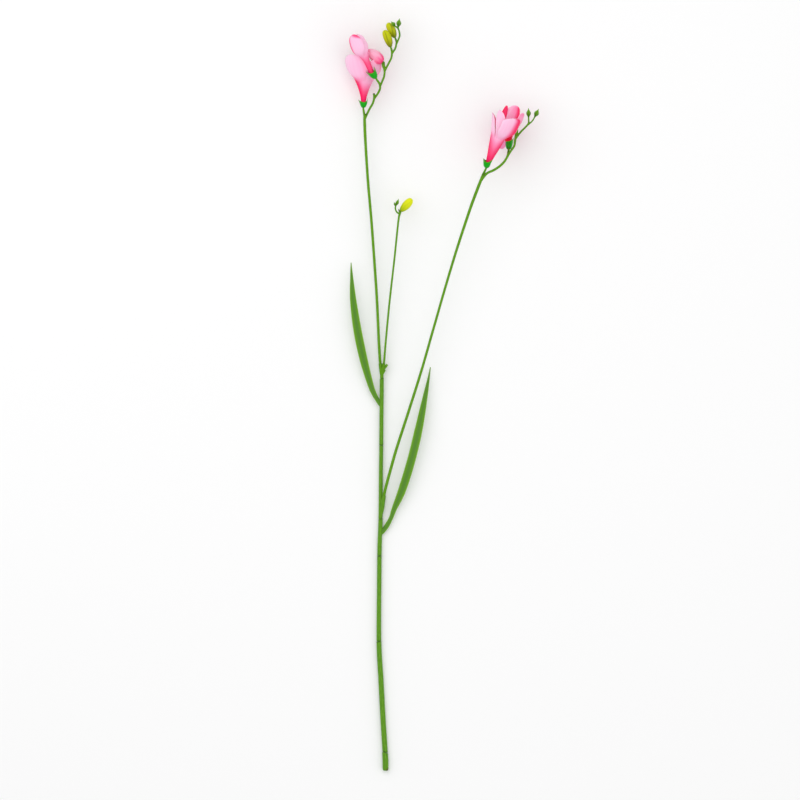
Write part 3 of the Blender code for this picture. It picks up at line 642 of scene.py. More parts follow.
def slant(piece, seams):
    """Lets a length's ends climb across the trunk as its seams do, fading out within a few mm."""
    points = points_of(piece)
    for seam in seams:
        ahead, past, right = at_seam(points, seam)
        fade = np.clip(1 - np.abs(past) / (SLANT_REACH * MM), 0, 1)
        fade = fade * fade * (3 - 2 * fade)
        points += ahead * (SLANTS[seam] * fade * right)[:, None]
    move_points(piece, points)


def turned(name, profile, seams):
    """A skin round the trunk's line through a profile, with its seams' slants."""
    turns = full_turn(TRUNK_SIDES)
    rings = []
    for y, radius in profile:
        ahead = trunk_heading(y)
        side = np.cross(ahead, (0.0, 0.0, 1.0))
        side /= np.linalg.norm(side)
        rings.append(to_frame(ring(trunk_at(y), side, np.cross(side, ahead), turns, radius)))
    made = skin(name, rings)
    slant(made, seams)
    return made


def mark(piece, name, spots):
    """Writes how strongly each point is marked by spots: a place, a reach and a strength."""
    points = points_of(piece)
    marks = np.zeros(len(points))
    for spot, reach, strength in spots:
        away = np.linalg.norm(points - np.array(place(*spot)), axis=1) / (reach * MM)
        marks = np.maximum(marks, strength * np.exp(-away ** 2))
    write(piece, **{name: marks})


def paint_seam_shade(piece, seams):
    """Paints shade on a length next to its seams, where the gap between two pieces is in shadow."""
    points = points_of(piece)
    marks = np.zeros(len(points))
    for seam in seams:
        _, past, right = at_seam(points, seam)
        away = (past - SLANTS[seam] * right) / (SEAM_SHADE_REACH * MM)
        marks = np.maximum(marks, SEAM_SHADE * np.exp(-away ** 2))
    write(piece, crease=marks)


def ribbed(piece, routes, ribs, depth, material, seed):
    """Runs the rib tree on a stalk, round its routes."""
    line = guide(routes)
    run_tree(piece, rib_tree, {"Guide": line, "Ribs": ribs, "Rib Depth": depth * MM,
                               "Unevenness": UNEVENNESS * MM, "Seed": seed, "Material": material})
    settle(piece)
    bpy.data.objects.remove(line)


# %% Build the lengths
# Each length's node, where it starts and ends, and its radii at even steps from foot to rim
LENGTHS = {
    "stem_lower_length": ("stem_lower", SLEEVE_TOP, LOWER_TOP, (1.95, 1.95, 1.85)),
    "stem_middle_length": ("stem_middle", LOWER_TOP, MIDDLE_TOP, (1.75, 1.65, 1.65)),
    "stem_leaf_length": ("stem_leaf_joint", MIDDLE_TOP, LEAF_JOINT_TOP, (1.65, 1.6)),
    "stem_upper_length": ("stem_upper", BRANCH_JOINT_TOP, UPPER_TOP, (1.5, 1.55)),
}
for seed, (name, (node, start, end, radii)) in enumerate(LENGTHS.items(), 2):
    made = turned(name, length_profile(start, end, radii), (start, end))
    ribbed(made, [trunk_route(start - 6.0, end + 1.0)], TRUNK_RIBS, RIB_DEPTH, trunk_green, seed)
    paint_seam_shade(made, (start, end))
    hand_over(made, "stem_green", node)

# %% The sleeve at the cut end
sleeve_rim = SLEEVE_TOP - SEAM / 2
sleeve_profile = [(0.0, CLOSED), (0.0, 0.9), (0.05, 1.25), (0.2, 1.6), (0.5, 1.9), (1.1, 2.12)]
sleeve_profile += [(y, SLEEVE_RADIUS) for y in (2.2, *np.arange(3.4, 12.6, 1.2))]
sleeve_profile += [(13.2, 2.17), (sleeve_rim, 2.02), (sleeve_rim, 1.1), (SLEEVE_TOP - 5.0, 1.05),
                   (SLEEVE_TOP - 5.4, CLOSED)]
sleeve = turned("end_sleeve", sleeve_profile, (SLEEVE_TOP,))
ribbed(sleeve, [trunk_route(-1.0, SLEEVE_TOP + 1.0)], TRUNK_RIBS, 0.02, trunk_green, 1)
paint_seam_shade(sleeve, (SLEEVE_TOP,))
# A small dark red-brown spot beside the cut end
mark(sleeve, "scar", [((1.25, 0.7, 3.7), 0.8, 1.0), ((1.5, 0.2, 3.0), 0.7, 1.0)])
hand_over(sleeve, "stem_green", "stem_end_sleeve")

# %% [markdown]
# ## Stalks that fork
# Where one stalk grows out of another, the mould leaves a soft fillet and no seam. The stalks are drawn
# as tubes that run into each other. A voxel remesh wraps them in one skin, as wet clay would be pressed
# into one piece, and a few rounds of smoothing round the inner corners. The rib tree then runs over the
# whole skin. Sockets are bored after the wrap, because a voxel skin would blur their edges.


# %% Fork helpers
STALK_SIDES = 20
BORE_SIDES = 24


def unit(vector):
    vector = np.array(vector, float)
    return vector / np.linalg.norm(vector)


def end_heading(route):
    return unit(np.array(route[-1][:3]) - np.array(route[-2][:3]))


def socket_in(arm, plug_radius):
    """The mouth of a socket at an arm's end, the way it faces and its radius."""
    return arm[-1], end_heading(arm), plug_radius + SEAM


def bore(body, mouth, direction, radius):
    """Cuts a socket into a stalk, from its mouth back into the body."""
    end = np.array(mouth[:3]) - direction * (PLUG_LENGTH + SEAM)
    far = np.array(mouth[:3]) + direction
    cutter = tube([(*end, radius), (*((end + far) / 2), radius), (*far, radius)], BORE_SIDES)
    cut = body.modifiers.new("socket", "BOOLEAN")
    cut.object = cutter
    return cutter


def fused(name, routes, voxel, sockets=(), rounds=5):
    """Stalks wrapped in one skin. Each route's points are (x, y, z, radius)."""
    body = join(name, [tube(route, STALK_SIDES) for route in routes])
    wrap = body.modifiers.new("one skin", "REMESH")
    wrap.mode = "VOXEL"
    wrap.voxel_size = voxel * MM
    ease = body.modifiers.new("fillets", "SMOOTH")
    ease.factor = 0.5
    ease.iterations = rounds
    cutters = [bore(body, *socket) for socket in sockets]
    settle(body)
    for cutter in cutters:
        bpy.data.objects.remove(cutter)
    return body


# %% The length with the side arm
ARM = [(-3.8, 190.5, 2.3, 1.3), (-2.6, 196.0, 3.2, 1.45), (-1.9, 201.0, 4.2, 1.45),
       (-1.1, 206.5, 5.2, 1.4)]
BRANCH_PLUG_RADIUS = 0.7
STALK_VOXEL = 0.2


def trunk_tube(start, end, radii):
    """The route of a trunk length with its plug, as points with radii."""
    foot = start + GAP / 2
    points = [(*trunk_at(y), TRUNK_PLUG_RADIUS) for y in (start - PLUG_LENGTH, foot - 0.05)]
    heights = np.linspace(foot, end - GAP / 2, 12)
    return points + [(*trunk_at(y), float(np.interp(y, np.linspace(start, end, len(radii)), radii)))
                     for y in heights]


arm_route = smooth_route(ARM, 1.0)
joint_routes = [trunk_tube(LEAF_JOINT_TOP, BRANCH_JOINT_TOP, (1.6, 1.5, 1.48)), arm_route]
trunk_socket = (trunk_at(BRANCH_JOINT_TOP - GAP / 2), trunk_heading(BRANCH_JOINT_TOP),
                TRUNK_SOCKET_RADIUS)
joint = fused("stem_branch_length", joint_routes, STALK_VOXEL,
              [trunk_socket, socket_in(ARM, BRANCH_PLUG_RADIUS)])
ribbed(joint, [trunk_route(LEAF_JOINT_TOP - 6.0, BRANCH_JOINT_TOP + 1.0), arm_route],
       TRUNK_RIBS, RIB_DEPTH, trunk_green, 6)
slant(joint, (LEAF_JOINT_TOP, BRANCH_JOINT_TOP))
paint_seam_shade(joint, (LEAF_JOINT_TOP, BRANCH_JOINT_TOP))
hand_over(joint, "stem_green", "stem_branch_joint")

# %% The fork above the trunk, with its cut stub and its bract
FORK_TOP_ARM = [(-3.1, 297.5, 4.1, 1.25), (-3.5, 301.0, 4.4, 1.4), (-4.0, 305.6, 4.8, 1.4)]
FORK_TWIG_ARM = [(-2.9, 296.5, 4.1, 1.1), (-2.1, 300.5, 5.2, 1.15), (-1.35, 305.4, 6.6, 1.1)]
FORK_STUB = [(-2.6, 298.4, 4.3, 0.9), (-1.2, 301.2, 4.9, 0.9), (1.2, 304.7, 5.6, 1.0)]
FORK_BRACT = [(-2.2, 297.0, 4.8, 0.75), (-1.1, 299.0, 5.2, 0.66), (0.35, 300.6, 5.6, 0.14)]
FORK_PLUG_RADIUS = 0.6
TWIG_PLUG_RADIUS = 0.45
BRANCH_RIBS = 7
fork_foot = trunk_tube(UPPER_TOP, UPPER_TOP + 4.5, (1.35, 1.3))
fork_arms = [smooth_route(route, 0.8) for route in (FORK_TOP_ARM, FORK_TWIG_ARM, FORK_STUB, FORK_BRACT)]
fork = fused("stem_fork_piece", [fork_foot] + fork_arms, 0.14,
             [socket_in(FORK_TOP_ARM, FORK_PLUG_RADIUS), socket_in(FORK_TWIG_ARM, TWIG_PLUG_RADIUS)], 4)
ribbed(fork, [trunk_route(UPPER_TOP - 6.0, UPPER_TOP + 5.0)] + fork_arms, BRANCH_RIBS, 0.03,
       branch_green, 7)
slant(fork, (UPPER_TOP,))
# Painted shade in the fork's crotches, at the bract's foot and at its seam
mark(fork, "crease", [((-2.6, 303.2, 4.6), 1.2, 0.9), ((-0.75, 303.6, 5.4), 0.8, 0.9),
                      ((-0.9, 300.4, 5.2), 0.7, 0.7), ((-2.9, 294.6, 4.0), 0.5, 0.4)])
mark(fork, "pale", [((1.3, 304.9, 5.8), 1.1, 1.0), ((0.2, 300.4, 5.6), 0.8, 1.0)])
hand_over(fork, "stem_green", "stem_fork")

# %% [markdown]
# ## The three branches
# Each branch is one moulding: a long slim stalk, then the zigzag of short stalks that carries flowers
# and buds, a little thicker where each one forks. The routes below repeat the frame's. A stalk ends
# straight inside the cup or the bud that it carries.

# %% Routes of the branches
TOP_MAIN = [(-4.25, 308.0, 5.1, 1.1), (-5.1, 323.0, 5.8, 1.08), (-6.5, 353.0, 7.2, 1.05),
            (-8.5, 383.0, 8.5, 1.05), (-10.7, 413.0, 9.7, 1.05), (-13.3, 443.0, 10.9, 1.05),
            (-15.2, 473.0, 12.0, 1.1), (-15.7, 485.0, 12.3, 1.15), (-15.8, 491.0, 12.4, 1.0)]
TOP_STALKS = {
    "to_first_stub": [(-15.8, 488.5, 12.3, 0.9), (-12.5, 495.4, 13.2, 0.85),
                      (-9.6, 500.6, 15.2, 0.85), (-8.5, 505.1, 17.2, 0.85),
                      (-8.9, 507.9, 18.4, 0.75)],
    "to_closed_flower": [(-8.9, 503.6, 16.8, 0.8), (-5.6, 508.3, 19.2, 0.85),
                         (-4.1, 512.0, 21.0, 0.85), (-4.5, 515.3, 22.6, 0.8)],
    "to_pink_bud": [(-4.2, 513.2, 21.4, 0.75), (-1.5, 519.6, 22.2, 0.82),
                    (-0.75, 523.5, 21.6, 0.82), (-1.0, 526.6, 21.2, 0.9),
                    (-1.6, 528.9, 20.8, 1.15)],
    "to_lower_bud": [(-0.75, 524.8, 21.2, 0.75), (2.5, 530.9, 21.8, 0.8),
                     (4.4, 535.0, 22.3, 0.8), (4.7, 539.0, 22.8, 0.78),
                     (4.3, 541.3, 23.2, 0.7)],
    "to_upper_bud": [(4.6, 537.6, 22.6, 0.7), (7.3, 541.8, 21.8, 0.75), (8.2, 546.3, 21.0, 0.72),
                     (7.8, 548.0, 20.7, 0.68)],
    "to_tip": [(8.1, 545.0, 21.3, 0.65), (10.4, 550.6, 22.4, 0.72), (10.3, 553.9, 23.2, 0.7),
               (9.1, 557.0, 23.9, 0.62), (6.9, 558.4, 24.5, 0.55)],
    "to_last_bud": [(9.4, 556.2, 23.7, 0.55), (9.4, 558.3, 24.0, 0.5)],
}
TOP_TINY_BUDS = [((7.2, 558.2, 24.5), (4.1, 562.0, 25.2), 1.45),
                 ((9.35, 557.6, 24.0), (10.5, 564.3, 24.4), 1.75)]

TWIG_MAIN = [(-1.05, 307.7, 7.25, 0.82), (0.2, 323.0, 8.7, 0.8), (3.1, 353.0, 11.0, 0.78),
             (6.5, 383.0, 13.0, 0.76), (9.4, 411.0, 14.6, 0.76), (10.3, 416.6, 14.95, 0.84),
             (10.9, 418.5, 15.1, 0.9)]
TWIG_HOOK = [(10.3, 417.7, 14.9, 0.64), (8.9, 418.4, 15.2, 0.62), (7.8, 419.9, 15.5, 0.6),
             (7.3, 421.8, 15.8, 0.58), (7.6, 424.0, 16.1, 0.55)]
TWIG_BRACT = [(10.7, 417.9, 15.2, 0.58), (10.2, 419.7, 16.4, 0.52), (9.75, 421.4, 17.0, 0.16)]
TWIG_TINY_BUDS = [((7.5, 423.2, 15.9), (6.3, 426.6, 16.4), 0.85),
                  ((7.7, 423.6, 16.1), (9.9, 429.0, 16.8), 1.15)]

RIGHT_MAIN = [(-0.75, 208.9, 5.65, 1.16), (1.6, 218.0, 6.9, 1.16), (7.9, 240.5, 8.9, 1.12),
              (17.6, 270.5, 11.2, 1.08), (27.0, 300.5, 13.5, 1.02), (35.6, 330.5, 15.7, 0.98),
              (44.2, 360.5, 17.9, 0.98), (53.2, 390.5, 20.1, 1.02), (63.1, 420.5, 22.3, 1.12),
              (68.6, 435.5, 23.3, 1.18), (72.3, 445.0, 23.9, 1.1), (74.2, 449.4, 24.1, 0.85)]
RIGHT_STALKS = {
    "to_back_flower": [(71.3, 442.4, 23.7, 1.0), (75.9, 447.9, 24.3, 0.95),
                       (80.7, 450.2, 24.7, 0.95), (85.4, 453.2, 25.3, 0.95),
                       (89.2, 457.0, 26.0, 0.92), (91.5, 461.2, 26.1, 0.9),
                       (92.1, 464.2, 24.9, 0.85)],
    "to_stub": [(91.2, 460.4, 26.2, 0.8), (94.2, 465.2, 27.4, 0.85), (96.5, 468.6, 28.0, 0.85),
                (97.0, 471.9, 28.4, 0.9), (97.6, 475.6, 28.4, 0.95), (98.2, 478.6, 28.4, 1.2),
                (98.6, 480.8, 28.5, 0.85), (98.9, 482.6, 28.6, 0.12)],
    "to_tip": [(97.5, 474.0, 28.35, 0.7), (98.9, 476.0, 28.4, 0.78), (101.7, 479.4, 28.6, 0.75),
               (104.6, 482.3, 28.8, 0.72), (107.1, 485.2, 29.0, 0.75), (107.3, 487.4, 29.0, 0.6),
               (107.2, 490.6, 29.0, 0.5)],
    "to_last_bud": [(106.6, 484.3, 29.0, 0.6), (109.9, 487.1, 29.3, 0.58),
                    (112.0, 490.6, 29.6, 0.5)],
}
RIGHT_TINY_BUDS = [((107.2, 489.9, 29.0), (107.2, 497.0, 29.2), 1.65),
                   ((111.7, 490.2, 29.5), (114.9, 496.4, 30.0), 1.7)]
print("stalks:", len(TOP_STALKS), "at the top and", len(RIGHT_STALKS), "on the right")

# %% The places of the flowers and buds, which the stalks end at
# A flower leans to the right and rises, in degrees. Its tube is a list of heights and radii, its middle
# line may bow to one side, and a phase turns its petals about that line.
FLOWERS = {
    "top_open": {
        "base": (-16.7, 497.3, 13.1), "heading": (1.6, 0.0),
        "tube": [(2.2, 1.3), (5.0, 1.7), (9.0, 2.4), (13.0, 3.6), (16.5, 4.9), (19.0, 6.1)],
    },
    "top_closed": {
        "base": (-8.6, 518.9, 24.0), "heading": (-22.0, 10.0), "bow": -0.8,
        "tube": [(2.2, 1.25), (4.8, 1.6), (9.0, 1.85), (14.0, 2.1), (17.0, 2.6), (19.5, 3.5)],
    },
    "right_front": {
        "base": (75.5, 452.2, 25.3), "heading": (20.7, 13.0),
        "tube": [(2.2, 1.3), (6.0, 2.0), (11.0, 2.9), (16.0, 3.9), (21.0, 4.8), (25.0, 5.5)],
    },
    "right_back": {
        "base": (92.3, 466.3, 22.95), "heading": (4.0, -37.0), "bow": -10.0, "phase": 30.0,
        "tube": [(2.2, 1.3), (5.5, 1.8), (8.5, 2.5), (11.5, 3.5), (13.5, 4.6)],
    },
}
# Where a stalk enters its cup, and its heading there, which may differ a little from the tube's
STALK_ENDS = {name: (flower["base"], flower["heading"]) for name, flower in FLOWERS.items()}
STALK_ENDS["top_open"] = ((-16.7, 497.3, 13.1), (4.0, 0.0))
STALK_ENDS["top_closed"] = ((-6.9, 518.9, 24.0), (-22.0, 10.0))
# The end that sits on its stalk, the tip, half the width, and how far the middle bows sideways
BUDS = {
    "top_pink_bud": ((-2.3, 531.3, 20.6), (-13.8, 540.3, 20.0), 4.35, 0.5),
    "top_lower_bud": ((3.7, 543.0, 23.5), (-1.0, 555.4, 26.4), 3.1, 0.4),
    "top_upper_bud": ((7.0, 549.9, 20.5), (1.6, 560.9, 20.0), 3.05, 0.4),
    "middle_bud": ((11.4, 419.8, 15.2), (19.8, 428.9, 16.5), 3.15, 0.2),
}
CUP_RECESS = 1.2
CUP_PEG_RADIUS = 0.75
BUD_SOCKET = 1.6
BUD_PEG_RADIUS = 0.62
# How much thicker a stalk is at its forks, and how far that reaches from its start and its end
FORK_SWELL = 0.12
FORK_REACHES = (1.6, 2.2)


def heading(turn, rise):
    """The direction of a flower that leans turn degrees to the right and rises by rise degrees."""
    turn, rise = math.radians(turn), math.radians(rise)
    return np.array((math.sin(turn) * math.cos(rise), math.cos(turn) * math.cos(rise), math.sin(rise)))


# %% Stalks with their thicker forks and straight ends
def into_cup(name):
    """The stalk's straight end in a cup."""
    base, forward = np.array(STALK_ENDS[name][0]), heading(*STALK_ENDS[name][1])
    return [(*(base + forward * step), CUP_PEG_RADIUS) for step in (-0.8, CUP_RECESS - SEAM)]


def into_bud(name, flare=0.75):
    """The stalk's end in a bud's socket, under a foot that flares where the bud sits on it."""
    base, tip = (np.array(spot) for spot in BUDS[name][:2])
    along = unit(tip - base)
    steps = [(-0.5, flare), (-0.15, flare), (-0.05, BUD_PEG_RADIUS), (BUD_SOCKET - SEAM, BUD_PEG_RADIUS)]
    return [(*(base + along * step), size) for step, size in steps]


def plug(arm, radius, body_radius):
    """The end of a branch that sits in its socket."""
    mouth, direction = np.array(arm[-1][:3]), end_heading(arm)
    steps = [(-PLUG_LENGTH, radius), (SEAM - 0.05, radius), (SEAM, body_radius)]
    return [(*(mouth + direction * step), size) for step, size in steps]


def stalk(route, end=()):
    """A bent stalk, thicker at its two forks, and its straight end."""
    points = smooth_route(route, 1.0)
    run = np.linspace(0, 1, len(points)) * len(points)
    runs = (run, len(points) - run)
    at_forks = sum(np.exp(-(away / reach) ** 2) for away, reach in zip(runs, FORK_REACHES))
    points[:, 3] *= 1 + FORK_SWELL * at_forks
    return [tuple(point) for point in points] + list(end)


def main_stalk(arm, plug_radius, route, end):
    along = [tuple(point) for point in smooth_route(route, 3.0)]
    return plug(arm, plug_radius, route[0][3]) + along + end


branch_routes = {
    "top_branch": [
        main_stalk(FORK_TOP_ARM, FORK_PLUG_RADIUS, TOP_MAIN, into_cup("top_open")),
        stalk(TOP_STALKS["to_first_stub"]),
        stalk(TOP_STALKS["to_closed_flower"], into_cup("top_closed")),
        stalk(TOP_STALKS["to_pink_bud"], into_bud("top_pink_bud", 1.35)),
        stalk(TOP_STALKS["to_lower_bud"], into_bud("top_lower_bud")),
        stalk(TOP_STALKS["to_upper_bud"], into_bud("top_upper_bud")),
        stalk(TOP_STALKS["to_tip"]),
        stalk(TOP_STALKS["to_last_bud"]),
    ],
    "middle_branch": [
        main_stalk(FORK_TWIG_ARM, TWIG_PLUG_RADIUS, TWIG_MAIN, into_bud("middle_bud", 0.95)),
        stalk(TWIG_HOOK),
        stalk(TWIG_BRACT),
    ],
    "right_branch": [
        main_stalk(ARM, BRANCH_PLUG_RADIUS, RIGHT_MAIN, into_cup("right_front")),
        stalk(RIGHT_STALKS["to_back_flower"], into_cup("right_back")),
        stalk(RIGHT_STALKS["to_stub"]),
        stalk(RIGHT_STALKS["to_tip"]),
        stalk(RIGHT_STALKS["to_last_bud"]),
    ],
}
print("stalks wrapped in one skin:", {name: len(routes) for name, routes in branch_routes.items()})

# %% Where painted shade darkens a crease, and where an end is pale
# Painted shade where the stalks fork: a place, a reach and a strength
BRANCH_CREASE_SHADES = {
    "top_branch": [((-14.6, 492.4, 12.9), 1.1, 0.8), ((-8.9, 508.0, 18.5), 1.0, 0.9),
                   ((-7.6, 505.6, 18.0), 0.9, 0.5), ((-4.1, 514.6, 22.2), 0.8, 0.4),
                   ((-1.7, 530.6, 21.2), 1.1, 0.6), ((4.9, 540.4, 22.9), 0.9, 0.4),
                   ((7.4, 546.4, 20.9), 1.1, 0.7), ((9.3, 556.6, 23.9), 0.8, 0.4)],
    "middle_branch": [((10.1, 420.4, 16.8), 1.1, 0.8), ((7.5, 423.4, 16.0), 0.7, 0.5)],
    "right_branch": [((73.4, 447.4, 24.2), 1.3, 0.8), ((92.3, 463.8, 25.2), 1.4, 0.75),
                     ((97.9, 477.0, 28.4), 1.0, 0.6), ((107.2, 486.6, 29.0), 0.9, 0.4)],
}
BRANCH_PALES = {"right_branch": [((99.2, 480.6, 28.6), 1.0, 0.5)]}
print("creases:", sum(len(spots) for spots in BRANCH_CREASE_SHADES.values()))

# %% Build the branches
for seed, (name, routes) in enumerate(branch_routes.items(), 11):
    branch = fused(name + "_stalks", routes, STALK_VOXEL if name != "middle_branch" else 0.16)
    ribbed(branch, [smooth_route(route, 0.7) for route in routes], BRANCH_RIBS, 0.025, branch_green, seed)
    mark(branch, "crease", BRANCH_CREASE_SHADES[name])
    mark(branch, "pale", BRANCH_PALES.get(name, []))
    hand_over(branch, "stem_green", name)

# %% [markdown]
# ## Tiny buds
# The last buds of a freesia are green lanterns a few millimetres long: a round belly of folded bracts
# with a fine point. Each is turned about its own line with five soft pleats: painted light brightens
# their crests and painted shade darkens their hollows.


# %% Tiny buds
LANTERN = [(0.0, 0.3), (0.1, 0.42), (0.2, 0.66), (0.3, 0.88), (0.4, 1.0), (0.5, 0.98), (0.6, 0.82),
           (0.7, 0.58), (0.8, 0.34), (0.9, 0.17), (0.97, 0.08), (1.0, 0.03)]
LANTERN_SIDES = 40
PLEATS = 5
PLEAT_DEPTH = 0.09


def round_line(base, tip):
    """Two directions across the line from base to tip."""
    along = unit(np.array(tip) - np.array(base))
    across = unit(np.cross(along, (0.0, 0.0, 1.0)))
    return across, np.cross(across, along)


def tiny_bud(base, tip, radius, twist):
    """A lantern with pleats that wind a little; its points know their share of the length."""
    across, up = round_line(base, tip)
    base, tip = np.array(base), np.array(tip)
    turns = full_turn(LANTERN_SIDES)
    rings, shares, folds = [], [], []
    for share, size in smooth_route(LANTERN, 0.04):
        fold = np.cos(PLEATS * (turns + twist * share))
        reach = radius * size * (1 + PLEAT_DEPTH * np.sign(fold) * np.abs(fold) ** 0.6)
        rings.append(ring(base + (tip - base) * share, across, up, turns, reach))
        shares += [share] * LANTERN_SIDES
        folds += fold.tolist()
    made = skin("tiny_bud", to_frame(rings))
    write(made, share=shares, fold=folds)
    return made


def tiny_bud_finish():
    made, tree, shader = new_material("tiny_bud_green", 0.45)
    # Painted light and shade on the pleats: lighter on their crests, darker in their hollows; lighter
    # towards the tip
    light = maths(tree, "MULTIPLY_ADD", attribute(tree, "fold"), 0.22, attribute(tree, "share"))
    mottled = maths(tree, "MULTIPLY_ADD", specks(tree, SPECK_SCALE), 0.6, light)
    green = ramp(tree, mottled, [(0.2, 48, 92, 4), (0.6, 74, 126, 8), (0.95, 98, 150, 20),
                                 (1.0, 116, 166, 40)])
    moulded(shader, green, 0.2, 3000.0, 0.03, (0.38, 0.55))
    return made


tiny_green = tiny_bud_finish()
TINY_BUDS = {"top_branch": TOP_TINY_BUDS, "middle_branch": TWIG_TINY_BUDS,
             "right_branch": RIGHT_TINY_BUDS}
for name, buds in TINY_BUDS.items():
    made = join(name + "_tiny_buds", [tiny_bud(*bud, 0.5) for bud in buds])
    paint(made, tiny_green)
    hand_over(made, "stem_green", name)

# %% [markdown]
# ## The two blades
# A freesia's leaf is a narrow sword: it clasps the stem with a thick foot, widens slowly and ends in a
# fine point. It is folded along its midrib and its veins all run lengthwise. The blade is a skin round
# flat rings. A second node tree raises the veins and gives the blade a slow wave, for which each point
# knows how far across and along the blade it lies.

# %% Leaf routes: x, y, z, half the width, and the thickness at the middle
LEAVES = {
    "left_leaf": [(-2.9, 272.4, 3.3, 0.8, 1.6), (-4.7, 275.6, 3.6, 1.45, 1.5),
                  (-6.5, 278.8, 4.0, 1.65, 1.3), (-8.4, 282.2, 4.5, 1.85, 1.1),
                  (-11.2, 289.3, 5.6, 2.25, 0.95), (-16.4, 308.0, 8.0, 3.0, 0.9),
                  (-21.1, 330.5, 9.4, 3.1, 0.9), (-24.3, 353.0, 9.2, 2.4, 0.85),
                  (-25.5, 371.0, 8.0, 1.1, 0.75), (-25.9, 381.0, 7.0, 0.35, 0.65)],
    "right_leaf": [(-4.4, 176.4, 2.0, 0.8, 1.6), (-2.4, 179.3, 2.3, 1.7, 1.6),
                   (0.9, 183.7, 3.0, 1.8, 1.3), (4.1, 189.7, 3.8, 1.6, 1.1),
                   (6.6, 196.6, 4.5, 2.0, 0.95), (12.4, 210.5, 6.6, 3.0, 0.9),
                   (19.3, 233.0, 8.8, 3.15, 0.9), (24.7, 255.5, 9.0, 3.0, 0.9),
                   (29.2, 278.0, 7.4, 2.0, 0.85), (32.2, 294.0, 5.6, 0.9, 0.75),
                   (33.6, 302.6, 4.6, 0.35, 0.65)],
}
LEAF_FOLD = 0.35
LEAF_EDGE = 0.32
LEAF_COLUMNS = 33
print("leaves:", ", ".join(LEAVES))


# %% The leaf tree: veins and a slow wave
def build_leaf_tree():
    tree, given = new_tree("leaf_veins", [
        ("Veins", "Int"), ("Vein Height", "Float"), ("Wave", "Float"), ("Seed", "Float"),
        ("Material", "Material")])
    across, share = named(tree, "across"), named(tree, "share")
    vein = veins_over(tree, across, given["Veins"])
    flat = maths(tree, "SUBTRACT", 1.0, maths(tree, "POWER", maths(tree, "ABSOLUTE", across), 6.0))
    relief = maths(tree, "MULTIPLY", maths(tree, "MULTIPLY", vein, flat), given["Vein Height"])
    wander = add(tree, "ShaderNodeTexNoise", {"W": maths(tree, "MULTIPLY_ADD", share, 9.0, given["Seed"]),
                                              "Scale": 1.0}, noise_dimensions="1D").outputs["Fac"]
    tilt = maths(tree, "MULTIPLY", maths(tree, "SUBTRACT", wander, 0.5), across)
    wave = scaled(tree, named(tree, "upward", "FLOAT_VECTOR"),
                  maths(tree, "MULTIPLY", tilt, given["Wave"]))
    shape = store(tree, raised(tree, given["Geometry"], relief, wave), "vein", vein)
    return end_tree(tree, shape, given["Material"])


leaf_tree = build_leaf_tree()
print("leaf tree:", len(leaf_tree.nodes), "nodes")


# %% The leaves' finish
def leaf_finish():
    made, tree, shader = new_material("leaf_green", 0.5)
    across, share = attribute(tree, "across"), attribute(tree, "share")
    blade = add(tree, "ShaderNodeCombineXYZ", {
        "X": maths(tree, "MULTIPLY", across, 6.0), "Y": maths(tree, "MULTIPLY", share, 3.0)})
    streaks = noise(tree, blade.outputs["Vector"], 2.0, 4.0)
    band = maths(tree, "MULTIPLY_ADD", maths(tree, "SUBTRACT", streaks, 0.5), 0.35,
                 maths(tree, "ABSOLUTE", across))
    green = ramp(tree, band, [(0.1, 84, 134, 44), (0.5, 92, 144, 36), (0.8, 96, 152, 26),
                              (0.93, 134, 178, 54)])
    line = maths(tree, "GREATER_THAN", attribute(tree, "vein"), 0.86)
    green = blend(tree, maths(tree, "MULTIPLY", line, 0.35), green, (126, 168, 74))
    # Painted shade where the blade's foot meets the trunk
    green = blend(tree, attribute(tree, "crease"), green, (44, 88, 20))
    point = maths(tree, "SMOOTH_MAX", maths(tree, "MULTIPLY_ADD", share, 10.0, -9.2), 0.0, 0.1)
    green = blend(tree, maths(tree, "MULTIPLY", point, 0.7), green, (150, 186, 96))
    moulded(shader, green, 0.2, 1800.0, 0.03, (0.45, 0.6))
    return made


leaf_green = leaf_finish()


# %% Build the leaves
def leaf(name, route, seed):
    """A blade folded along its middle, as rings that go out over the top and back underneath."""
    points = smooth_route(route, 1.2)
    spread = np.sin(np.linspace(-math.pi / 2, math.pi / 2, LEAF_COLUMNS))
    rings, across, shares, upward = [], [], [], []
    for index, (*middle, half_width, thickness) in enumerate(points):
        before, after = points[max(index - 1, 0)], points[min(index + 1, len(points) - 1)]
        along = unit(after[:3] - before[:3])
        side = unit(np.cross(along, (0.0, 0.0, 1.0)))
        up = np.cross(side, along)
        fold = LEAF_FOLD * half_width * smoothstep((half_width - 1.2) / 1.2)
        row = []
        for face, columns in ((1, spread[:-1]), (-1, spread[:0:-1])):
            for column in columns:
                wide = abs(column)
                depth = LEAF_EDGE + (thickness - LEAF_EDGE) * (1 - wide ** 1.5)
                lift = face * depth / 2 * math.sqrt(max(0.0, 1 - wide ** 12)) - fold * (1 - wide)
                row.append(np.array(middle) + side * column * half_width + up * lift)
                across.append(column)
        upward += [up] * len(row)
        shares += [index / (len(points) - 1)] * len(row)
        rings.append(row)
    made = skin(name, to_frame(rings))
    write(made, across=across, share=shares, upward=upward)
    run_tree(made, leaf_tree, {"Veins": 9, "Vein Height": 0.03 * MM, "Wave": 0.5 * MM, "Seed": seed,
                               "Material": leaf_green})
    return settle(made)


# Painted shade in each leaf's axil, where its foot meets the trunk
AXIL_SHADES = {"left_leaf": [((-4.6, 279.6, 4.2), 1.5, 0.75)],
         "right_leaf": [((-2.0, 182.6, 3.0), 1.3, 0.75)]}
for seed, (name, route) in enumerate(LEAVES.items(), 3):
    made = leaf(name + "_blade", route, seed)
    mark(made, "crease", AXIL_SHADES[name])
    hand_over(made, "leaf_green", name)
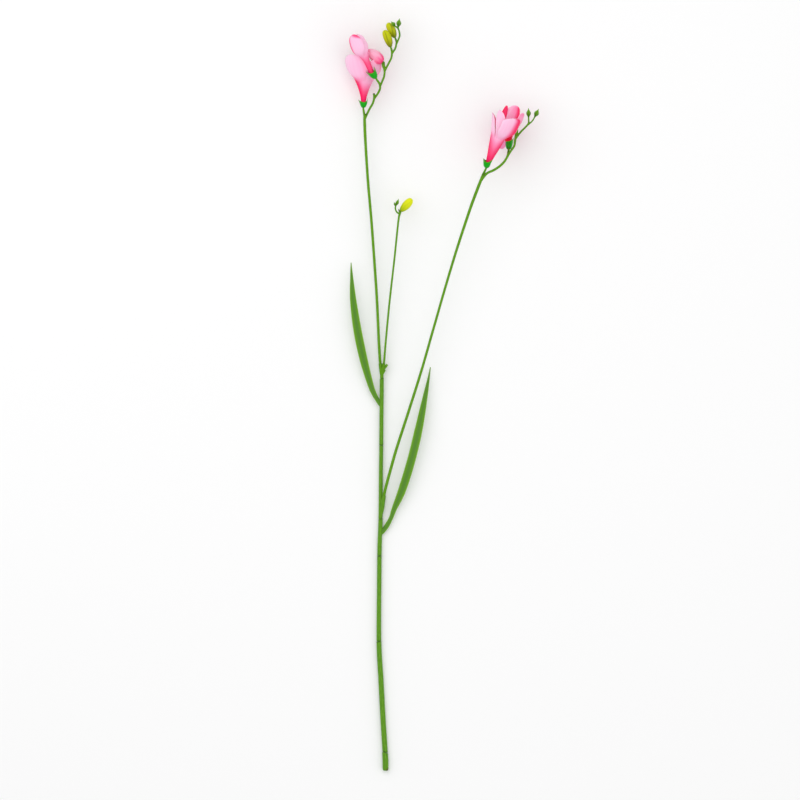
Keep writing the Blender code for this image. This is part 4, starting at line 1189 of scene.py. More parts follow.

# %% [markdown]
# ## The green cups
# Each flower stands in a small cup that two bracts have grown into. The moulded one is smooth, bright
# and glossy, with a point at either side and a thin yellow-olive rim. It is a skin that goes up the
# outside, over the wavy rim and down the inside to a floor.

# %% Sizes of the cups
# Height and radius; the outline from foot to rim as shares of both; and the points of the rim: where
# round the cup, how far one rises over the rim and how far it flares, as shares of height and radius,
# how many degrees it spreads to each side, and how sharply it ends.
CUPS = {
    "top_open": {
        "base": (-16.7, 497.3, 13.1), "heading": (2.0, 0.0), "height": 4.6, "radius": 2.95,
        "outline": [(0.0, 0.42), (0.06, 0.52), (0.25, 0.7), (0.5, 0.87), (0.7, 0.96)],
        "points": [(186, 0.26, 0.38, 88, 1.45), (6, 0.56, 0.06, 74, 2.0)],
    },
    "top_closed": {
        "base": (-7.3, 519.4, 24.1), "heading": (-34.0, 10.0), "height": 5.8, "radius": 3.1,
        "outline": [(0.0, 0.4), (0.06, 0.52), (0.25, 0.76), (0.5, 0.92), (0.7, 0.99)],
        "points": [(176, 0.46, 0.2, 88, 1.45), (22, 0.44, 0.34, 52, 2.4)],
    },
    "right_front": {
        "base": (75.5, 452.2, 25.3), "heading": (10.0, 13.0), "height": 5.5, "radius": 3.1,
        "outline": [(0.0, 0.4), (0.06, 0.52), (0.25, 0.76), (0.5, 0.88), (0.7, 0.95)],
        "points": [(180, 0.26, 0.12, 84, 1.6), (0, 0.56, 0.34, 88, 1.45)],
    },
    "right_back": {
        "base": (92.3, 466.3, 22.95), "heading": (4.0, -37.0), "height": 5.8, "radius": 2.75,
        "outline": [(0.0, 0.42), (0.06, 0.56), (0.25, 0.78), (0.5, 0.92), (0.7, 0.98)],
        "points": [(186, 0.0, 0.0, 84, 1.45), (9, 0.78, 0.16, 88, 1.6)],
    },
}
CUP_RIM_DIP = 0.1
CUP_WALL = 0.45
CUP_SIDES = 120
CUP_LIP = 0.22
CUP_SHARP_ANGLE = 55
STALK_HOLE = 1.0
BOW_HEIGHT = 30.0


def flower_axes(flower):
    """The flower's right, its side towards the viewer, and the way it points."""
    forward = heading(*flower["heading"])
    right = unit(np.cross(forward, (0.0, 0.0, 1.0)))
    return right, np.cross(right, forward), forward


def axis_point(flower, height):
    """A point of the flower's middle line, which bows to one side along the tube."""
    right, _, forward = flower_axes(flower)
    bow = flower.get("bow", 0.0) * (height / BOW_HEIGHT) ** 2
    return np.array(flower["base"]) + forward * height + right * bow


def round_axis(flower, turn, radius, height):
    """A point at a turn, radius and height about the flower's middle line."""
    right, front, _ = flower_axes(flower)
    turn = math.radians(turn + flower.get("phase", 0.0))
    return axis_point(flower, height) + (right * math.cos(turn) + front * math.sin(turn)) * radius


# %% The cups' finish
def cup_finish(name, body, foot):
    made, tree, shader = new_material(name, 0.25)
    mottled = maths(tree, "MULTIPLY_ADD", specks(tree, SPECK_SCALE), 0.25, attribute(tree, "share"))
    green = ramp(tree, mottled, [(0.1, *foot), (0.35, *body), (0.85, *body), (1.0, 30, 164, 6)])
    rim = maths(tree, "MULTIPLY", maths(tree, "POWER", attribute(tree, "rim"), 4.0), 0.8)
    moulded(shader, blend(tree, rim, green, (168, 150, 16)), 0.4, 1500.0, 0.02, (0.24, 0.36))
    return made


cup_green = cup_finish("cup_green", (4, 166, 6), (8, 128, 8))
back_cup_green = cup_finish("back_cup_green", (22, 160, 2), (10, 122, 2))
print("finishes:", cup_green.name, back_cup_green.name)


# %% Build the cups
def cup_rim(sizes, turns):
    """Heights and radii of the rim round a cup."""
    rise, flare = np.full(CUP_SIDES, -CUP_RIM_DIP), np.zeros(CUP_SIDES)
    for turn, point_rise, point_flare, spread, sharpness in sizes["points"]:
        away = np.abs((turns - turn + 180) % 360 - 180) / spread
        peak = np.clip(1 - away, 0, 1) ** sharpness
        rise += (point_rise + CUP_RIM_DIP) * peak
        flare += point_flare * peak
    return sizes["height"] * (1 + rise), sizes["radius"] * (1.02 + flare)


def cup(name, sizes):
    """A cup from rows of height, radius and paint on the rim: up the outside, over it and down inside."""
    height, radius = sizes["height"], sizes["radius"]
    turns = np.linspace(0, 360, CUP_SIDES, endpoint=False)
    rim_heights, rim_radii = cup_rim(sizes, turns)
    waist, belly = height * 0.7, radius * sizes["outline"][-1][1]
    inner_rim, inner_belly = rim_radii - CUP_LIP, belly - CUP_WALL
    floor = CUP_RECESS + CUP_WALL
    rows = [(CUP_RECESS, CLOSED, 0.0), (CUP_RECESS, STALK_HOLE, 0.0), (0.15, STALK_HOLE, 0.0)]
    for share, size in smooth_route(sizes["outline"], 0.08):
        rows.append((height * share, radius * size, 0.0))
    for step in range(1, 9):
        rise = step / 8
        rows.append((waist + (rim_heights - waist) * rise, belly + (rim_radii - belly) * rise, rise ** 3))
    rows += [(rim_heights + 0.05, rim_radii - 0.1, 1.0), (rim_heights, inner_rim, 1.0)]
    for step in range(1, 6):
        drop = step / 5
        rows.append((rim_heights + (waist - rim_heights) * drop,
                     inner_rim + (inner_belly - inner_rim) * drop, 0.5 * (1 - drop)))
    rows += [(floor, radius * 0.72 - CUP_WALL, 0.0), (floor, CLOSED, 0.0)]
    rings, shares, rims = [], [], []
    for *spots, rim in rows:
        heights, radii = (np.broadcast_to(spot, turns.shape) for spot in spots)
        rings.append([round_axis(sizes, *spot) for spot in zip(turns, radii, heights)])
        shares += (heights / height).tolist()
        rims += [rim] * CUP_SIDES
    made = skin(name, to_frame(rings))
    write(made, share=shares, rim=rims)
    paint(made, back_cup_green if name.startswith("right_back") else cup_green)
    made.data.set_sharp_from_angle(angle=math.radians(CUP_SHARP_ANGLE))
    return made


for name, sizes in CUPS.items():
    hand_over(cup(name + "_cup", sizes), "cup_green", name + "_calyx")

# %% [markdown]
# ## Petals
# A freesia's six petals are one tube that parts near its mouth, three of them outside the others. So
# the tube and the petals are one sheet, drawn from the same few measures as the frame: the tube's
# radius at each height, and each petal's length, width, bend and lean. The rows are close here, the
# edges ruffle, and the sheet is half as thick. The airbrush is worked out on the points as a blush from
# 0, nearly white, to 1, magenta: strong at the foot of the tube and along its flanks, weak on the open
# petals, and again strong along some margins. On the tube's flanks the blush is partly airbrush and
# partly painted shade, where the sides turn away from above.

# %% What describes a petal
@dataclass
class Petal:
    """One petal's form, in millimetres, degrees and shares of its length, and its paint."""
    turn: float                         # round from the flower's right towards the viewer
    length: float
    half_width: float
    bend: tuple                         # away from the flower's line: near the tube, halfway, at the tip
    lean: float = 0.0                   # how far the tip slides sideways
    twist: float = 0.0                  # how far its face turns towards the petal after it, in degrees
    layer: float = 0.0                  # 1 outside its neighbours, -1 inside them
    sector: tuple = None                # the part of the tube's mouth that it grows from
    sides: tuple = (1.0, 1.0)           # width of the half before and after its middle
    shoulders: tuple = (0.35, 0.35)     # where each half has reached its width
    laps: tuple = (0.14, 0.14)          # how far each edge laps over the next petal; 0 leaves a slit
    blunt: float = 0.5                  # where the tip starts to round off
    skew: float = 0.0                   # how much further the edge after the middle reaches
    settle: float = 0.5                 # where it has turned to its place
    roll: float = 14.0                  # how much further the very tip bends outward, in degrees
    flat: float = 1.0                   # how much flatter than the tube it lies
    margin: float = 0.5                 # of half the width, where an edge's blush begins
    widens: float = 0.0                 # how much wider that blush is near the tube than at the tip
    tip_slant: float = 0.0              # how much lower the tip's blush starts before the middle
    outside: tuple = (0.1, 0.1, 0.1, 0.0)   # blush: face, edge before, edge after, tip
    inside: tuple = (0.4, 0.1, 0.1, 0.1)
    rim: float = 0.35                   # how pale the thin rim is


# %% The petals of each flower
PETALS = {
    "top_open": [
        Petal(128, 22.2, 9.6, (38, 16, -2), lean=1.7, layer=0.5, sides=(1.3, 1.2), shoulders=(0.2, 0.1),
              flat=1.3, roll=20.0, margin=1.0, outside=(0.13, 0.2, -0.12, -0.1), rim=0.5),
        Petal(50, 18.6, 6.8, (40, 18, -2), layer=-0.4, sides=(1.45, 1.0), flat=1.5,
              outside=(0.2, 0.3, 0.1, 0.0)),
        Petal(12, 17.0, 6.0, (34, 10, 0), outside=(0.14, 0.1, 0.0, 0.0), inside=(0.2, 0.1, 0.1, 0.1)),
        Petal(300, 18.0, 6.8, (38, 20, 4), layer=1, outside=(0.25, 0.1, 0.1, 0.0),
              inside=(0.04, 0.1, 0.1, 0.1)),
        Petal(240, 18.0, 6.6, (24, 14, 6), layer=-1, outside=(0.2, 0.1, 0.1, 0.0),
              inside=(0.06, 0.1, 0.1, 0.1)),
        Petal(182, 18.0, 6.6, (26, 18, 10), outside=(0.2, 0.1, 0.1, 0.0)),
    ],
    "top_closed": [
        Petal(106, 20.0, 5.9, (44, 0, -16), lean=-0.5, layer=1, sides=(0.95, 0.98), shoulders=(0.4, 0.14),
              roll=-40.0, margin=0.42, tip_slant=0.13, outside=(0.1, 0.04, 0.58, 0.56), rim=0.1),
        Petal(60, 17.4, 5.4, (26, -2, -18), roll=-20.0, outside=(0.1, 0.1, 0.0, 0.0), rim=0.45),
        Petal(350, 16.4, 4.2, (24, -4, -20), layer=-1, roll=-20.0, outside=(0.2, 0.1, 0.1, 0.0)),
        Petal(290, 16.2, 5.0, (26, -4, -16), layer=1, roll=-20.0, outside=(0.2, 0.1, 0.1, 0.0)),
        Petal(230, 16.4, 4.8, (28, -4, -18), roll=-20.0, outside=(0.2, 0.1, 0.1, 0.0)),
        Petal(170, 16.8, 5.0, (40, 0, -22), layer=-1, roll=-20.0, outside=(0.2, 0.1, 0.4, 0.1)),
    ],
    "right_front": [
        Petal(60, 21.4, 8.8, (45, 13, -10), lean=0.2, layer=1, sector=(30, 94), sides=(1.02, 0.82),
              shoulders=(0.2, 0.4), blunt=0.84, skew=-1.8, roll=4.0, flat=1.4, margin=1.1, widens=0.4,
              outside=(0.15, 0.9, -0.06, -0.08), rim=0.5),
        Petal(13, 26.4, 2.9, (36, 13, -4), twist=28.0, layer=-1, sector=(-30, 30), roll=4.0, blunt=0.8,
              outside=(0.3, 0.25, 0.0, 0.1), inside=(0.2, 0.1, 0.1, 0.1), rim=0.6),
        Petal(303, 26.4, 7.5, (16, 12, 4), layer=-1, sector=(250, 330), roll=4.0, flat=1.3, margin=1.0,
              outside=(0.4, 0.1, 0.4, 0.3), inside=(0.28, -0.26, 0.56, 0.14), rim=0.25),
        Petal(258, 23.6, 3.1, (12, 10, 4), sector=(194, 250), sides=(0.76, 0.75), laps=(0.0, 0.14),
              outside=(0.4, 0.1, 0.1, 0.2), inside=(0.74, 0.1, 0.1, 0.1), rim=0.1),
        Petal(178, 17.2, 6.6, (18, 17, 14), sector=(114, 194), sides=(0.9, 1.1), shoulders=(0.3, 0.3),
              laps=(0.0, 0.14), skew=-1.6, flat=0.82, outside=(0.06, 0.0, 0.0, 0.05),
              inside=(0.42, 0.2, 0.2, 0.3), rim=0.5),
        Petal(128, 22.4, 5.4, (16, 12, 4), layer=-0.6, sector=(94, 114), sides=(1.35, 0.3),
              shoulders=(0.2, 0.85), laps=(0.5, 0.0), settle=0.85, outside=(0.03, 0.0, 0.0, 0.0), rim=0.5),
    ],
    "right_back": [
        Petal(60, 12.0, 5.0, (30, 24, 14), layer=1, outside=(0.3, 0.2, 0.2, 0.1)),
        Petal(0, 12.0, 4.6, (22, 4, -6), layer=-1, outside=(0.3, 0.2, 0.2, 0.1)),
        Petal(300, 11.5, 4.6, (24, 8, 0), outside=(0.3, 0.2, 0.2, 0.1)),
        Petal(212, 11.8, 5.6, (80, 130, 150), layer=1, sector=(210, 270), outside=(0.2, 0.1, 0.1, 0.1),
              inside=(0.2, 0.1, 0.1, 0.1), roll=0.0),
        Petal(180, 10.0, 4.2, (14, 4, -4), layer=-1, outside=(0.3, 0.2, 0.2, 0.1)),
        Petal(120, 10.6, 4.3, (20, 12, 4), outside=(0.3, 0.2, 0.2, 0.1)),
    ],
}
# Blush of each tube at heights over its base, and how much more its right and left flanks get, which
# is partly airbrush and partly painted shade on the sides that turn away from above
TUBE_PAINT = {
    "top_open": ([(2.0, 1.0), (6.0, 0.92), (9.0, 0.78), (13.0, 0.57), (17.0, 0.36), (19.0, 0.27)],
                 (0.05, 0.85)),
    "top_closed": ([(2.0, 0.95), (5.0, 0.8), (9.0, 0.7), (14.0, 0.6), (17.0, 0.46), (19.5, 0.3)],
                   (0.1, 0.2)),
    "right_front": ([(2.0, 1.0), (6.0, 0.88), (12.0, 0.7), (17.0, 0.53), (21.0, 0.4), (25.0, 0.22)],
                    (0.5, 0.4)),
    "right_back": ([(2.0, 1.0), (8.0, 0.9), (11.0, 0.7), (13.5, 0.5)], (0.1, 0.1)),
}
PETAL_COLUMNS = 16
PETAL_ROWS = 34
ROWS_TO_TIP = 1.45
PETAL_THICKNESS = 0.34
BEND_STEPS = 24
LAYER_DEPTH = 0.55
MIDRIB_DEPTH = 0.14
MIDRIB_WIDTH = 0.09
# Bumps a metre of the faint clouds in the blush
CLOUD_SCALE = 7300.0
print("petals:", sum(len(shape) for shape in PETALS.values()))


# %% The petal tree: veins that spread from the tube, and ruffled edges
def build_petal_tree():
    tree, given = new_tree("petal_relief", [
        ("Veins", "Int"), ("Vein Height", "Float"), ("Ruffle", "Float"), ("Seed", "Float"),
        ("Material", "Material")])
    across, open_share = named(tree, "across"), named(tree, "open_share")
    vein = veins_over(tree, across, given["Veins"])
    here = add(tree, "GeometryNodeInputPosition").outputs["Position"]
    wander = add(tree, "ShaderNodeTexNoise", {"Vector": here, "W": given["Seed"], "Scale": 260.0,
                                              "Detail": 1.0}, noise_dimensions="4D").outputs["Fac"]
    edge = maths(tree, "POWER", maths(tree, "ABSOLUTE", across), 4.0)
    loose = maths(tree, "MULTIPLY", edge, open_share)
    ruffle = maths(tree, "MULTIPLY", maths(tree, "MULTIPLY", maths(tree, "SUBTRACT", wander, 0.5), loose),
                   given["Ruffle"])
    lift = maths(tree, "MULTIPLY_ADD", vein, given["Vein Height"], ruffle)
    shape = store(tree, raised(tree, given["Geometry"], lift), "vein", vein)
    return end_tree(tree, shape, given["Material"])


petal_tree = build_petal_tree()
print("petal tree:", len(petal_tree.nodes), "nodes")


# %% The petals' finish
def petal_finish(name, stops):
    made, tree, shader = new_material(name, 0.5)
    cloudy = maths(tree, "SUBTRACT", specks(tree, CLOUD_SCALE, 3.0), 0.5)
    veined = maths(tree, "MULTIPLY", attribute(tree, "vein"), 0.025)
    blush = maths(tree, "ADD", attribute(tree, "blush"), maths(tree, "MULTIPLY_ADD", cloudy, 0.14, veined))
    pink = blend(tree, attribute(tree, "rim"), ramp(tree, blush, stops), (255, 224, 240))
    moulded(shader, pink, 0.2, 1600.0, 0.02, (0.5, 0.62))
    return made


petal_pink = petal_finish("petal_pink", [
    (0.0, 255, 206, 234), (0.2, 255, 186, 220), (0.42, 255, 138, 184), (0.62, 253, 88, 138),
    (0.82, 252, 44, 106), (1.0, 255, 0, 96)])
# Painted shade: a darker, redder copy of the petal pink for the back flower, which lies in the front
# flower's shadow
back_petal_pink = petal_finish("back_petal_pink", [
    (0.0, 255, 190, 226), (0.3, 248, 140, 196), (0.6, 236, 60, 120), (0.8, 240, 0, 60),
    (1.0, 238, 0, 46)])
print("finishes:", petal_pink.name, back_petal_pink.name)


# %% The shape of a petal
def side_width(petal, share, base, side):
    """The width of one half at a share of the length: the tube's part, then wide, then round."""
    outline = petal.half_width * petal.sides[side] * (0.72 + 0.28 * smoothstep(share / 0.5))
    base = base * (1 + petal.laps[side] * smoothstep(share / 0.06))
    width = base + (outline - base) * smoothstep(share / petal.shoulders[side])
    if share > petal.blunt:
        end = (share - petal.blunt) / (1 - petal.blunt)
        width = max(0.14 * outline, width * max(0.0, 1 - end ** 2.4) ** 0.5)
    return width


def bend_at(petal, bends, share):
    """How far a petal leans out from the flower's line, in degrees, with the roll of its tip."""
    return np.interp(share, (0, 0.15, 0.5, 1), bends) + petal.roll * smoothstep((share - 0.86) / 0.14)


def petal_row(flower, petal, share):
    """A row's middle, its directions sideways, outward and ahead, its two widths and its curl."""
    (below_height, below_radius), (height, mouth) = flower["tube"][-2:]
    slope = math.degrees(math.atan2(mouth - below_radius, height - below_height))
    bends = (slope, *petal.bend)
    radius = mouth
    right, front, forward = flower_axes(flower)
    for step in range(BEND_STEPS):
        bend = math.radians(bend_at(petal, bends, (step + 0.5) / BEND_STEPS * share))
        radius += math.sin(bend) * petal.length * share / BEND_STEPS
        height += math.cos(bend) * petal.length * share / BEND_STEPS
    bend = math.radians(bend_at(petal, bends, share))
    start, end = sector_of(petal)
    middle_turn = (start + end) / 2
    aim = (petal.turn - middle_turn + 180) % 360 - 180
    turned_by = middle_turn + aim * smoothstep(share / petal.settle)
    turn = math.radians(flower.get("phase", 0.0) + turned_by)
    outward = right * math.cos(turn) + front * math.sin(turn)
    twist = turn + math.radians(petal.twist) * smoothstep(share / 0.5)
    sideways = front * math.cos(twist) - right * math.sin(twist)
    face = right * math.cos(twist) + front * math.sin(twist)
    facing = face * math.cos(bend) - forward * math.sin(bend)
    offset = petal.layer * LAYER_DEPTH * smoothstep(share / 0.1)
    middle = axis_point(flower, height) + outward * radius + facing * offset
    middle += sideways * petal.lean * share ** 1.5
    base = (mouth + (radius - mouth) * 0.5) * math.radians(end - start) / 2
    widths = [side_width(petal, share, base, side) for side in (0, 1)]
    curl = (radius + offset) * (1 + (petal.flat - 1) * smoothstep(share / 0.35))
    return middle, sideways, facing, forward, widths, curl


def sector_of(petal):
    """The part of the mouth that a petal grows from: a sixth of it, unless the petal says more."""
    slot = 60.0 * round(petal.turn / 60.0)
    return petal.sector or (slot - 30.0, slot + 30.0)


# %% Paint helpers
def blush_at(amounts, petal, share, across):
    """The blush of a face at a place on the petal."""
    face, before, after, tip = amounts
    margin = petal.margin * (1 + petal.widens * (0.5 - share))
    edge = before if across < 0 else after
    blush = face + edge * smoothstep((abs(across) - 1 + margin) / margin) * smoothstep(share / 0.15)
    tip_share = share - petal.tip_slant * across
    return blush + tip * smoothstep((tip_share - 1 + 0.4 * margin) / (0.4 * margin))


def petal_paint(start, petal, share, across):
    """Blush outside and inside, and the paleness of the rim."""
    outside = blush_at(petal.outside, petal, share, across)
    outside = start + (outside - start) * smoothstep(share / 0.35)
    inside = blush_at(petal.inside, petal, share, across) + 0.18 * (1 - smoothstep(share / 0.6))
    border = max(smoothstep((abs(across) - 0.92) / 0.07), smoothstep((share - 0.97) / 0.025))
    return outside, inside, petal.rim * border * smoothstep(share / 0.3)


# %% Build the petals
def mouth_turns(shape):
    """The turn of every column round the tube, so that each petal's part has the same number."""
    parts = sorted((sector_of(petal) for petal in shape), key=lambda part: part[0] % 360)
    turns, firsts = [], {}
    for start, end in parts:
        firsts[round(start % 360)] = len(turns)
        turns += [start + (end - start) * column / PETAL_COLUMNS for column in range(PETAL_COLUMNS)]
    return turns, firsts


# Where a point's numbers hold its blush outside
OUTSIDE = 3


def tube_points(flower, turns, heights_and_blush, flank_blush_and_shade):
    """The tube row by row: each point's place, across, openness, blush outside and inside, and rim."""
    heights, blushes = zip(*heights_and_blush)
    points = []
    for height, radius in smooth_route(flower["tube"], 0.8):
        blush = float(np.interp(height, heights, blushes))
        for column, turn in enumerate(turns):
            # Flank blush: partly airbrush, partly painted shade on the tube's sides, which turn away from
            # above
            side = math.cos(math.radians(turn)) ** 2 * flank_blush_and_shade[90 < turn % 360 < 270]
            points.append((round_axis(flower, turn, radius, height),
                           2 * (column % PETAL_COLUMNS) / PETAL_COLUMNS - 1, 0.0,
                           min(1.0, blush + side * smoothstep(1.3 - blush)), max(blush, 0.5), 0.0))
    return points


def petal_points(flower, petal, share, starts):
    """One row of a petal in the same form; starts is the tube's blush where each column begins."""
    middle, sideways, facing, forward, widths, curl = petal_row(flower, petal, share)
    fullness = max(widths) / (petal.half_width * max(petal.sides))
    points = []
    for across, start in zip(np.linspace(-1, 1, PETAL_COLUMNS + 1), starts):
        angle = across * (widths[0] if across < 0 else widths[1]) / curl
        spot = middle + sideways * curl * math.sin(angle)
        spot = spot - facing * curl * (1 - math.cos(angle))
        spot = spot + forward * petal.skew * across * fullness * share ** 2
        midrib = math.exp(-(across / MIDRIB_WIDTH) ** 2) * math.sin(math.pi * share)
        spot = spot - facing * MIDRIB_DEPTH * midrib
        points.append((spot, across, smoothstep(share / 0.4) * fullness,
                       *petal_paint(start, petal, share, across)))
    return points


def strip(low, high):
    """The faces between two rows of points."""
    return [(low[column], high[column], high[column + 1], low[column + 1])
            for column in range(len(low) - 1)]


def flower_sheet(flower, shape, tube_paint):
    """The points and faces of a tube and its petals."""
    turns, firsts = mouth_turns(shape)
    points = tube_points(flower, turns, *tube_paint)
    columns = len(turns)
    faces = []
    for row in range(0, len(points) - columns, columns):
        low = [row + column % columns for column in range(columns + 1)]
        faces += strip(low, [index + columns for index in low])
    mouth = len(points) - columns
    for petal in shape:
        first = firsts[round(sector_of(petal)[0] % 360)]
        low = [mouth + (first + column) % columns for column in range(PETAL_COLUMNS + 1)]
        starts = [points[index][OUTSIDE] for index in low]
        for step in range(1, PETAL_ROWS + 1):
            share = 1 - (1 - step / PETAL_ROWS) ** ROWS_TO_TIP
            high = list(range(len(points), len(points) + PETAL_COLUMNS + 1))
            points += petal_points(flower, petal, share, starts)
            faces += strip(low, high)
            low = high
    return points, faces


def petals(name, flower, shape, tube_paint, material, seed):
    """The tube and its petals as one thin sheet with a thickness."""
    points, faces = flower_sheet(flower, shape, tube_paint)
    spots, across, opened, outside, inside, rims = zip(*points)
    mesh = bpy.data.meshes.new(name)
    mesh.from_pydata(to_frame(spots).tolist(), [], faces)
    made = new_piece(name, mesh)
    write(made, across=across, open_share=opened)
    run_tree(made, petal_tree, {"Veins": 6, "Vein Height": 0.022 * MM, "Ruffle": 0.9 * MM, "Seed": seed,
                                "Material": material})
    wall = made.modifiers.new("thickness", "SOLIDIFY")
    wall.thickness = PETAL_THICKNESS * MM
    wall.offset = 0.0
    settle(made)
    print(name, "points:", len(points), "with its thickness:", len(made.data.vertices))
    write(made, blush=outside + inside, rim=rims + rims)
    return made


for seed, (name, flower) in enumerate(FLOWERS.items(), 21):
    material = back_petal_pink if name == "right_back" else petal_pink
    made = petals(name + "_bloom", flower, PETALS[name], TUBE_PAINT[name], material, seed)
    hand_over(made, "petal_pink", name + "_petals")

# %% [markdown]
# ## Stamens and pollen
# Inside each open flower three stamens stand round a slim style. The filaments are thin cream tubes.
# Each anther is a long double pod covered with powdery grains, which a node tree scatters over it with
# a fixed seed.


# %% The pollen tree
# The random node's sockets for the smallest and the largest plain number, and its plain result
RANDOM_LOW, RANDOM_HIGH, RANDOM_RESULT = 2, 3, 1


def build_pollen_tree():
    tree, given = new_tree("pollen", [
        ("Density", "Float"), ("Grain Size", "Float"), ("Seed", "Int"), ("Material", "Material")])
    spots = add(tree, "GeometryNodeDistributePointsOnFaces", {
        "Mesh": given["Geometry"], "Density": given["Density"], "Seed": given["Seed"]})
    grain = add(tree, "GeometryNodeMeshIcoSphere", {"Radius": given["Grain Size"], "Subdivisions": 1})
    sizes = add(tree, "FunctionNodeRandomValue", {
        "Seed": given["Seed"], RANDOM_LOW: 0.6, RANDOM_HIGH: 1.3}, data_type="FLOAT")
    grains = add(tree, "GeometryNodeInstanceOnPoints", {
        "Points": spots.outputs["Points"], "Instance": grain.outputs["Mesh"],
        "Rotation": spots.outputs["Rotation"], "Scale": sizes.outputs[RANDOM_RESULT]})
    both = add(tree, "GeometryNodeJoinGeometry")
    for geometry in (given["Geometry"], grains.outputs["Instances"]):
        tree.links.new(geometry, both.inputs["Geometry"])
    return end_tree(tree, both.outputs["Geometry"], given["Material"])


pollen_tree = build_pollen_tree()
print("pollen tree:", len(pollen_tree.nodes), "nodes")


# %% Finishes of filaments and pollen
def powdery(name, low, high):
    made, tree, shader = new_material(name, 0.7)
    tint = ramp(tree, specks(tree, SPECK_SCALE, 3.0), [(0.3, *low), (0.7, *high)])
    moulded(shader, tint, 0.5, 4000.0, 0.03, (0.55, 0.75))
    return made


filament_cream = powdery("filament_cream", (232, 214, 160), (246, 236, 200))
pollen_gold = powdery("pollen_gold", (150, 112, 30), (206, 164, 60))
print("finishes:", filament_cream.name, pollen_gold.name)

# %% Build the stamens
STAMEN_TURN = 22.0
ANTHER_LENGTH = 4.6
ANTHER_RADIUS = 0.62
ANTHER_OUT = 1.78
ANTHER_SIDES = 24
# How long the stamens are, and how far each of the three leans out at its end
STAMENS = {"top_open": (28.0, (0.0, 0.0, 0.0)), "right_front": (35.0, (0.0, 3.6, 0.0)),
           "right_back": (20.0, (0.0, 0.0, 0.0))}
POD = [(0.0, 0.25), (0.08, 0.7), (0.25, 0.95), (0.5, 1.0), (0.75, 0.95), (0.92, 0.7), (1.0, 0.2)]
STAMEN_FOOT = CUP_RECESS + CUP_WALL + SEAM


def round_tube(flower, turn, route, spacing, sides):
    """A tube through points at a turn about the flower's line, each (out, height, radius)."""
    points = [(*round_axis(flower, turn, out, height), radius) for out, height, radius in route]
    return tube(smooth_route(points, spacing), sides)


def anther(flower, turn, out, start):
    """Two lobes side by side, along the flower's line."""
    turns = full_turn(ANTHER_SIDES)
    right, front, _ = flower_axes(flower)
    rings = []
    for share, size in smooth_route(POD, 0.06):
        centre = round_axis(flower, turn, out, start + share * ANTHER_LENGTH)
        reach = ANTHER_RADIUS * size * (0.82 + 0.22 * np.cos(2 * turns))
        rings.append(ring(centre, right, front, turns, reach))
    return skin("anther", to_frame(rings))


for seed, (name, (length, leans)) in enumerate(STAMENS.items(), 31):
    flower, foot, end = FLOWERS[name], STAMEN_FOOT, length - ANTHER_LENGTH
    style = [(0.0, foot, 0.55), (0.0, foot + 7.0, 0.45), (0.0, length - 2.0, 0.3),
             (0.0, length + 0.6, 0.3)]
    lobe = [(0.05, length + 0.3, 0.2), (0.5, length + 1.5, 0.16), (0.9, length + 2.4, 0.12)]
    tubes, anthers = [round_tube(flower, 0.0, style, 1.5, 12)], []
    for index, lean in enumerate(leans):
        turn = STAMEN_TURN + 120.0 * index
        filament = [(0.15, foot + 3.5, 0.28), (1.3, foot + 12.0, 0.28), (1.7 + lean, end - 0.4, 0.24),
                    (1.75 + lean, end + 0.8, 0.2)]
        tubes.append(round_tube(flower, turn, filament, 1.5, 12))
        tubes.append(round_tube(flower, turn + 60, lobe, 0.5, 10))
        anthers.append(anther(flower, turn, ANTHER_OUT + lean, end))
    filaments = join(name + "_filaments", tubes)
    paint(filaments, filament_cream)
    hand_over(filaments, "stamen_cream", name + "_stamens")
    dusted = join(name + "_anthers", anthers)
    run_tree(dusted, pollen_tree, {"Density": 9.0e6, "Grain Size": 0.07 * MM, "Seed": seed,
                                   "Material": pollen_gold})
    hand_over(settle(dusted), "stamen_cream", name + "_stamens")

# %% [markdown]
# ## Buds
# A closed bud is a long egg of petals wrapped over each other: three outer petals show, each with one
# edge over its neighbour, so the outline round the bud is a soft saw and not a circle. The overlap
# winds a little from foot to tip. Painted shade runs along each overlapping edge: olive on the green
# buds and deep pink on the ripe one.

# %% Bud helpers
BUD_SIDES = 96
BUD_STEPS = 44
BUD_FOOT = 1.1
BUD_HOLE = 0.95
WRAPS = 3
EDGE_SHARE = 0.12
green_outline = smooth_route([(0.0, 0.4), (0.07, 0.56), (0.2, 0.79), (0.38, 0.96), (0.55, 1.0),
                              (0.72, 0.93), (0.86, 0.76), (0.95, 0.5), (0.99, 0.24), (1.0, 0.04)], 0.03)
pink_outline = smooth_route([(0.0, 0.34), (0.03, 0.55), (0.1, 0.77), (0.22, 0.94), (0.4, 1.0),
                             (0.6, 0.94), (0.78, 0.77), (0.92, 0.5), (0.985, 0.24), (1.0, 0.04)], 0.03)


def saw(turns):
    """A soft saw: it climbs over each wrapped petal and drops at its edge. Also how near the edge is."""
    phase = (turns / (2 * math.pi)) % 1.0
    climb = np.where(phase < 1 - EDGE_SHARE, phase / (1 - EDGE_SHARE), (1 - phase) / EDGE_SHARE)
    return climb, np.exp(-((phase - 1 + EDGE_SHARE / 2) / 0.07) ** 2)


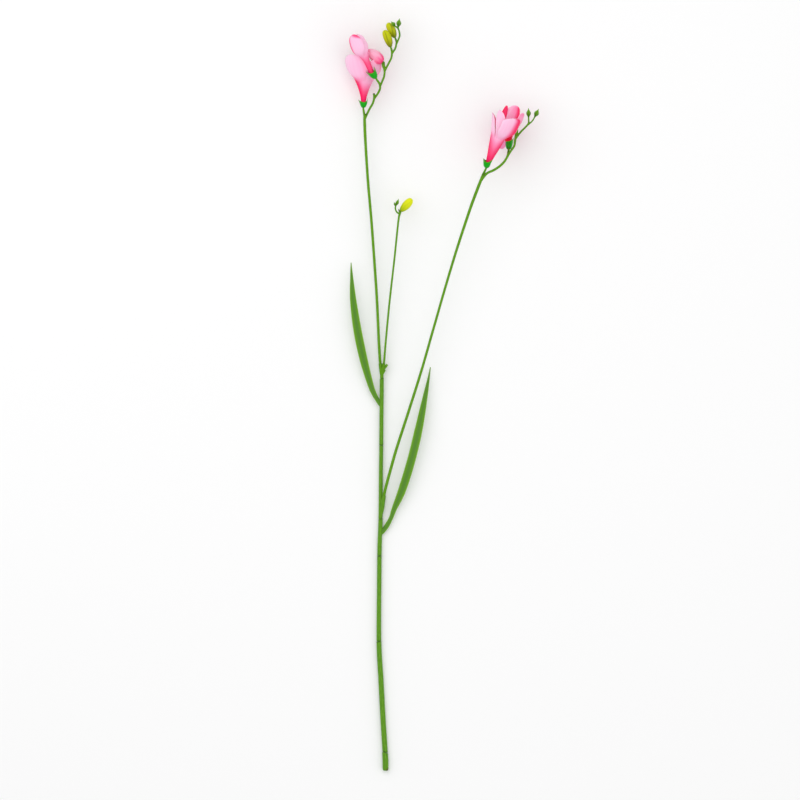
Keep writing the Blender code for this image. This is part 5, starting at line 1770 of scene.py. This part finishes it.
def bud(name, base, tip, radius, bow, wind, ridge, outline):
    """A closed bud over its own line, with a hollow below for its stalk."""
    across, up = round_line(base, tip)
    base, tip = np.array(base), np.array(tip)
    turns = full_turn(BUD_SIDES)
    depth = BUD_SOCKET / np.linalg.norm(tip - base)
    rows = [(depth, CLOSED), (depth, BUD_HOLE), (0.0, BUD_HOLE), (0.0, BUD_FOOT)]
    for step in range(1, BUD_STEPS):
        share = 0.5 - 0.5 * math.cos(math.pi * step / BUD_STEPS)
        egg = float(np.interp(share, outline[:, 0], outline[:, 1]))
        climb, _ = saw(WRAPS * turns + wind * share)
        rows.append((share, radius * egg * (1 + ridge * (climb - 0.5) * smoothstep(share / 0.15))))
    rings, shares, edges, grains = [], [], [], []
    for share, reach in rows + [(1.0, 0.04)]:
        centre = base + (tip - base) * share + across * bow * math.sin(math.pi * share)
        rings.append(ring(centre, across, up, turns, reach))
        _, edge = saw(WRAPS * turns + wind * share)
        shares += [share] * BUD_SIDES
        # Where painted shade falls along each wrapped edge
        edges += (edge * smoothstep(share / 0.1)).tolist()
        grains += np.stack([np.cos(turns), np.sin(turns), np.full(BUD_SIDES, share)], 1).tolist()
    made = skin(name, to_frame(rings))
    write(made, share=shares, edge=edges, grain=grains)
    return made


# %% The buds' finishes
def bud_finish(name, stops, crease, crease_shade_strength):
    made, tree, shader = new_material(name, 0.45)
    grain = add(tree, "ShaderNodeMapping", {"Vector": attribute(tree, "grain", "Vector"),
                                            "Scale": (1.6, 1.6, 0.7)}).outputs["Vector"]
    streaks = maths(tree, "SUBTRACT", noise(tree, grain, 2.2, 4.0), 0.5)
    tone = maths(tree, "MULTIPLY_ADD", streaks, 0.7, attribute(tree, "share"))
    # Painted shade along the wrapped edges, in each bud's crease colour
    edge = maths(tree, "MULTIPLY", attribute(tree, "edge"), crease_shade_strength)
    tint = blend(tree, edge, ramp(tree, tone, stops), crease)
    moulded(shader, tint, 0.2, 1500.0, 0.03, (0.38, 0.55))
    return made


green_bud = bud_finish("bud_yellow_green", [
    (0.0, 104, 120, 6), (0.25, 150, 158, 2), (0.5, 184, 190, 0), (0.9, 198, 204, 2)], (112, 120, 10), 0.7)
yellow_bud = bud_finish("bud_yellow", [
    (0.0, 134, 162, 4), (0.25, 188, 202, 2), (0.55, 214, 220, 4), (0.95, 228, 236, 16)],
    (176, 186, 8), 0.4)
pink_bud = bud_finish("bud_pink", [
    (0.0, 255, 50, 120), (0.2, 255, 104, 156), (0.45, 255, 174, 204), (0.8, 255, 194, 218),
    (1.0, 255, 110, 160)], (250, 120, 165), 0.15)
print("finishes:", green_bud.name, yellow_bud.name, pink_bud.name)

# %% Build the buds
# Each bud's slot and finish, how far its petals wind, how much they overlap, and its outline
BUD_FINISHES = {
    "top_pink_bud": ("bud_pink", pink_bud, 0.4, 0.018, pink_outline),
    "top_lower_bud": ("bud_yellow_green", green_bud, 1.0, 0.12, green_outline),
    "top_upper_bud": ("bud_yellow_green", green_bud, 3.0, 0.12, green_outline),
    "middle_bud": ("bud_yellow", yellow_bud, 2.0, 0.1, green_outline),
}
for name, (slot, finish, *form) in BUD_FINISHES.items():
    made = bud(name + "_petals", *BUDS[name], *form)
    paint(made, finish)
    hand_over(made, slot, name)
